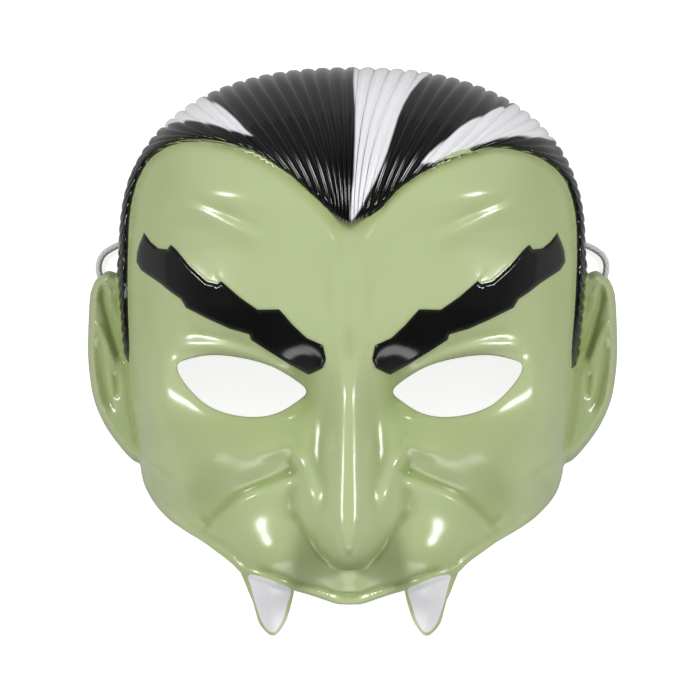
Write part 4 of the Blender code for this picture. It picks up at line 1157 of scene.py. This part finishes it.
@dataclass
class Elastic:
    """The round braided elastic, laid loose from one side of the mask to the other."""

    diameter: float = 0.0024
    sides: int = 16
    ring_step: float = 0.00042
    braid_pitch: float = 0.0021
    braid_relief: float = 0.00006

    route: Table = (
        (-0.0914, 0.0138, 0.0034), (-0.0921, 0.0178, 0.0031), (-0.0935, 0.0222, 0.0024),
        (-0.0950, 0.0264, 0.0016),
        (-0.0960, 0.0302, 0.00125), (-0.0957, 0.0334, 0.00125), (-0.0940, 0.0364, 0.00125),
        (-0.0908, 0.0386, 0.00125), (-0.0873, 0.0402, 0.00125), (-0.0826, 0.0424, 0.00125),
        (-0.0745, 0.0474, 0.00125), (-0.0640, 0.0548, 0.00125), (-0.0510, 0.0618, 0.00125),
        (-0.0370, 0.0645, 0.00125), (-0.0235, 0.0608, 0.00125), (-0.0115, 0.0520, 0.00125),
        (0.0005, 0.0428, 0.00125), (0.0140, 0.0372, 0.00125), (0.0290, 0.0368, 0.00125),
        (0.0430, 0.0425, 0.00125), (0.0560, 0.0505, 0.00125), (0.0680, 0.0530, 0.00125),
        (0.0775, 0.0478, 0.00125), (0.0832, 0.0424, 0.00125), (0.0875, 0.0400, 0.00125),
        (0.0910, 0.0384, 0.00125), (0.0941, 0.0362, 0.00125), (0.0958, 0.0334, 0.00125),
        (0.0960, 0.0302, 0.00125), (0.0950, 0.0264, 0.0016), (0.0935, 0.0222, 0.0024),
        (0.0921, 0.0178, 0.0031), (0.0914, 0.0138, 0.0034),
    )

    def path(self) -> np.ndarray:
        """Return the points that the elastic follows."""
        return even_points(smooth_curve(self.route, fineness=40), self.ring_step)

    def material(self) -> bpy.types.Material:
        """Return the finish of the elastic: whitish yarn, with painted shade making it greyer between its strands.
        """
        made = bpy.data.materials.new("braided_elastic")
        made.use_nodes = True
        tree = made.node_tree
        shader = tree.nodes["Principled BSDF"]
        strand_crest_shade = add_node(tree, "ShaderNodeAttribute", attribute_name="strand_crest_shade").outputs["Fac"]
        mix = add_node(tree, "ShaderNodeMix", data_type="RGBA")
        # The grey between the strands is painted shade; the yarn itself is the whitish colour.
        mix.inputs["A"].default_value = (0.42, 0.41, 0.40, 1.0)
        mix.inputs["B"].default_value = (0.80, 0.79, 0.77, 1.0)
        link(tree, strand_crest_shade, mix.inputs["Factor"])
        link(tree, mix.outputs["Result"], shader.inputs["Base Color"])
        shader.inputs["Roughness"].default_value = 0.75
        shader.inputs["Sheen Weight"].default_value = 0.3
        return made

    def build(self) -> bpy.types.Object:
        """Build the elastic as a tube of braided strands, and return its object."""
        path = self.path()
        along = np.concatenate([[0.0], np.cumsum(np.linalg.norm(np.diff(path, axis=0), axis=1))])
        bm = bmesh.new()
        layer = bm.verts.layers.float.new("strand_crest_shade")
        tangents = np.gradient(path, axis=0)
        rings = []
        for point, tangent, run in zip(path, tangents, along):
            ahead = Vector(tangent).normalized()
            side = ahead.cross(Vector((0, 0, 1))).normalized()
            up = side.cross(ahead)
            ring = []
            for k in range(self.sides):
                angle = 2 * math.pi * k / self.sides
                turn = 2 * math.pi * run / self.braid_pitch
                strand_crest_shade = max(math.sin(4 * angle + turn), math.sin(4 * angle - turn))
                radius = self.diameter / 2 + self.braid_relief * (strand_crest_shade - 1)
                offset = side * math.cos(angle) + up * math.sin(angle)
                vert = bm.verts.new(Vector(point) + offset * radius)
                # The strand's crest height also sets the painted shade: greyer in the grooves between strands.
                vert[layer] = max(0.0, min(1.0, 0.5 + 0.5 * strand_crest_shade))
                ring.append(vert)
            rings.append(ring)
        for near, far in zip(rings, rings[1:]):
            for k in range(self.sides):
                n = (k + 1) % self.sides
                bm.faces.new([near[k], near[n], far[n], far[k]]).smooth = True
        bm.faces.new(rings[0][::-1])
        bm.faces.new(rings[-1])
        bmesh.ops.recalc_face_normals(bm, faces=bm.faces)
        piece = finish_piece("elastic", bm, self.material(), "elastic_cord")
        LOG.info("elastic: %.1f mm long", 1000 * curve_length(path))
        return piece


@dataclass
class AnchorPad:
    """A plain pad inside the mask that holds one end of the elastic."""

    node: str
    corner: float = 0.0007

    def material(self) -> bpy.types.Material:
        """Return the finish of the pad: satin white plastic with a fine grain."""
        made = bpy.data.materials.new(f"{self.node}_plastic")
        made.use_nodes = True
        tree = made.node_tree
        shader = tree.nodes["Principled BSDF"]
        place = add_node(tree, "ShaderNodeTexCoord").outputs["Object"]
        grain = add_node(tree, "ShaderNodeTexNoise")
        grain.inputs["Scale"].default_value = 900.0
        link(tree, place, grain.inputs["Vector"])
        mix = add_node(tree, "ShaderNodeMix", data_type="RGBA")
        mix.inputs["A"].default_value = (0.74, 0.74, 0.72, 1.0)
        mix.inputs["B"].default_value = (0.84, 0.84, 0.82, 1.0)
        link(tree, grain.outputs["Fac"], mix.inputs["Factor"])
        link(tree, mix.outputs["Result"], shader.inputs["Base Color"])
        shader.inputs["Roughness"].default_value = 0.42
        bump = add_node(tree, "ShaderNodeBump")
        bump.inputs["Strength"].default_value = 0.10
        bump.inputs["Distance"].default_value = 0.0001
        link(tree, grain.outputs["Fac"], bump.inputs["Height"])
        link(tree, bump.outputs["Normal"], shader.inputs["Normal"])
        return made

    def build(self) -> bpy.types.Object:
        """Build the pad in its packed box, with rounded edges, and return its object."""
        low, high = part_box(self.node)
        bm = bmesh.new()
        bmesh.ops.create_cube(bm, size=1.0)
        bmesh.ops.scale(bm, vec=Vector(high) - Vector(low), verts=bm.verts)
        bmesh.ops.translate(bm, vec=(Vector(low) + Vector(high)) / 2, verts=bm.verts)
        bmesh.ops.bevel(
            bm, geom=bm.edges, offset=self.corner, offset_type="OFFSET", affect="EDGES", segments=4,
            profile=0.5, material=-1,
        )
        return finish_piece(f"{self.node}_pad", bm, self.material(), self.node)


@dataclass
class Studio:
    """A plain pale floor, soft lights and the camera."""

    distance: float = 6.0
    tilt: float = 1.0
    pixel: float = 0.000378
    frame_pixels: int = 700
    mask_middle: tuple[float, float] = (352.3, 350.0)
    level: float = 0.005
    floor_glow: float = 0.84
    floor_bounce: float = 0.02
    sky: tuple[float, float, float, float] = (0.10, 0.75, 0.38, 0.05)

    def floor(self) -> None:
        """Lay the floor."""
        bm = bmesh.new()
        bmesh.ops.create_grid(bm, x_segments=1, y_segments=1, size=4.0)
        mesh = bpy.data.meshes.new("floor")
        bm.to_mesh(mesh)
        bm.free()
        material = bpy.data.materials.new("floor_white")
        material.use_nodes = True
        shader = material.node_tree.nodes["Principled BSDF"]
        shader.inputs["Base Color"].default_value = (0.50, 0.50, 0.50, 1.0)
        shader.inputs["Emission Color"].default_value = (1.0, 1.0, 1.0, 1.0)
        glow = add_node(material.node_tree, "ShaderNodeMapRange")
        glow.inputs["To Min"].default_value = self.floor_bounce
        glow.inputs["To Max"].default_value = self.floor_glow
        seen = add_node(material.node_tree, "ShaderNodeLightPath").outputs["Is Camera Ray"]
        link(material.node_tree, seen, glow.inputs["Value"])
        link(material.node_tree, glow.outputs["Result"], shader.inputs["Emission Strength"])
        shader.inputs["Roughness"].default_value = 0.9
        shader.inputs["Specular IOR Level"].default_value = 0.1
        mesh.materials.append(material)
        thing = bpy.data.objects.new("floor", mesh)
        bpy.context.collection.objects.link(thing)

    def world(self) -> None:
        """Surround the scene with pale light near the horizon and little overhead, so that black stays deep."""
        world = bpy.data.worlds.new("studio")
        world.use_nodes = True
        tree = world.node_tree
        back = tree.nodes["Background"]
        back.inputs["Color"].default_value = (1.0, 1.0, 1.0, 1.0)
        split = add_node(tree, "ShaderNodeSeparateXYZ")
        link(tree, add_node(tree, "ShaderNodeTexCoord").outputs["Generated"], split.inputs["Vector"])
        ramp = add_node(tree, "ShaderNodeMapRange", interpolation_type="SMOOTHSTEP")
        for name, value in zip(("From Min", "From Max", "To Min", "To Max"), self.sky):
            ramp.inputs[name].default_value = value
        link(tree, split.outputs["Z"], ramp.inputs["Value"])
        link(tree, ramp.outputs["Result"], back.inputs["Strength"])
        bpy.context.scene.world = world
        bpy.context.scene.view_settings.view_transform = "Standard"

    def light(self, name: str, where: tuple[float, float, float], size: tuple[float, float], power: float) -> None:
        """Hang one soft light, facing the mask.

        Args:
            name: The light's name.
            where: Its place.
            size: Its width and height.
            power: Its power in watts.
        """
        lamp = bpy.data.lights.new(name, "AREA")
        lamp.shape = "RECTANGLE"
        lamp.size, lamp.size_y = size
        lamp.energy = power
        thing = bpy.data.objects.new(name, lamp)
        thing.location = where
        aim = Vector((0, 0, 0.05)) - Vector(where)
        thing.rotation_euler = aim.to_track_quat("-Z", "Y").to_euler()
        bpy.context.collection.objects.link(thing)

    def camera(self) -> None:
        """Set the camera over the mask, at the photo's angle."""
        data = bpy.data.cameras.new("camera")
        data.sensor_width = 36.0
        width = self.frame_pixels * self.pixel
        data.lens = data.sensor_width * self.distance / width
        data.clip_end = 100.0
        thing = bpy.data.objects.new("camera", data)
        tilt = math.radians(self.tilt)
        middle_x = (self.frame_pixels / 2 - self.mask_middle[0]) * self.pixel
        middle_y = (self.mask_middle[1] - self.frame_pixels / 2) * self.pixel
        aim = Vector((middle_x, middle_y, self.level))
        thing.location = aim + Vector((math.sin(tilt), 0, math.cos(tilt))) * self.distance
        thing.rotation_euler = (0, tilt, 0)
        bpy.context.collection.objects.link(thing)
        bpy.context.scene.camera = thing

    def build(self) -> None:
        """Set up the floor, the lights and the camera."""
        self.floor()
        self.world()
        self.light("left_soft", (-1.10, 0.62, 1.00), (0.26, 0.40), 15.0)
        self.light("right_soft", (1.10, 0.62, 1.00), (0.26, 0.40), 15.0)
        self.light("low_fill", (0.0, -1.20, 1.10), (1.20, 0.50), 10.0)
        self.camera()


def main() -> None:
    """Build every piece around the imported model."""
    logging.basicConfig(level=logging.INFO, format="%(message)s")
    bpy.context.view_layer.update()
    Studio().build()
    Elastic().build()
    for node in ("cord_anchor_left", "cord_anchor_right"):
        AnchorPad(node).build()
    face = FaceMap()
    relief = Relief(face)
    hairs = {side: Hair(face, side) for side in Side}
    MaskSheet(face, relief, Paint(face, relief), hairs=hairs).build()


if __name__ == "__main__":
    main()
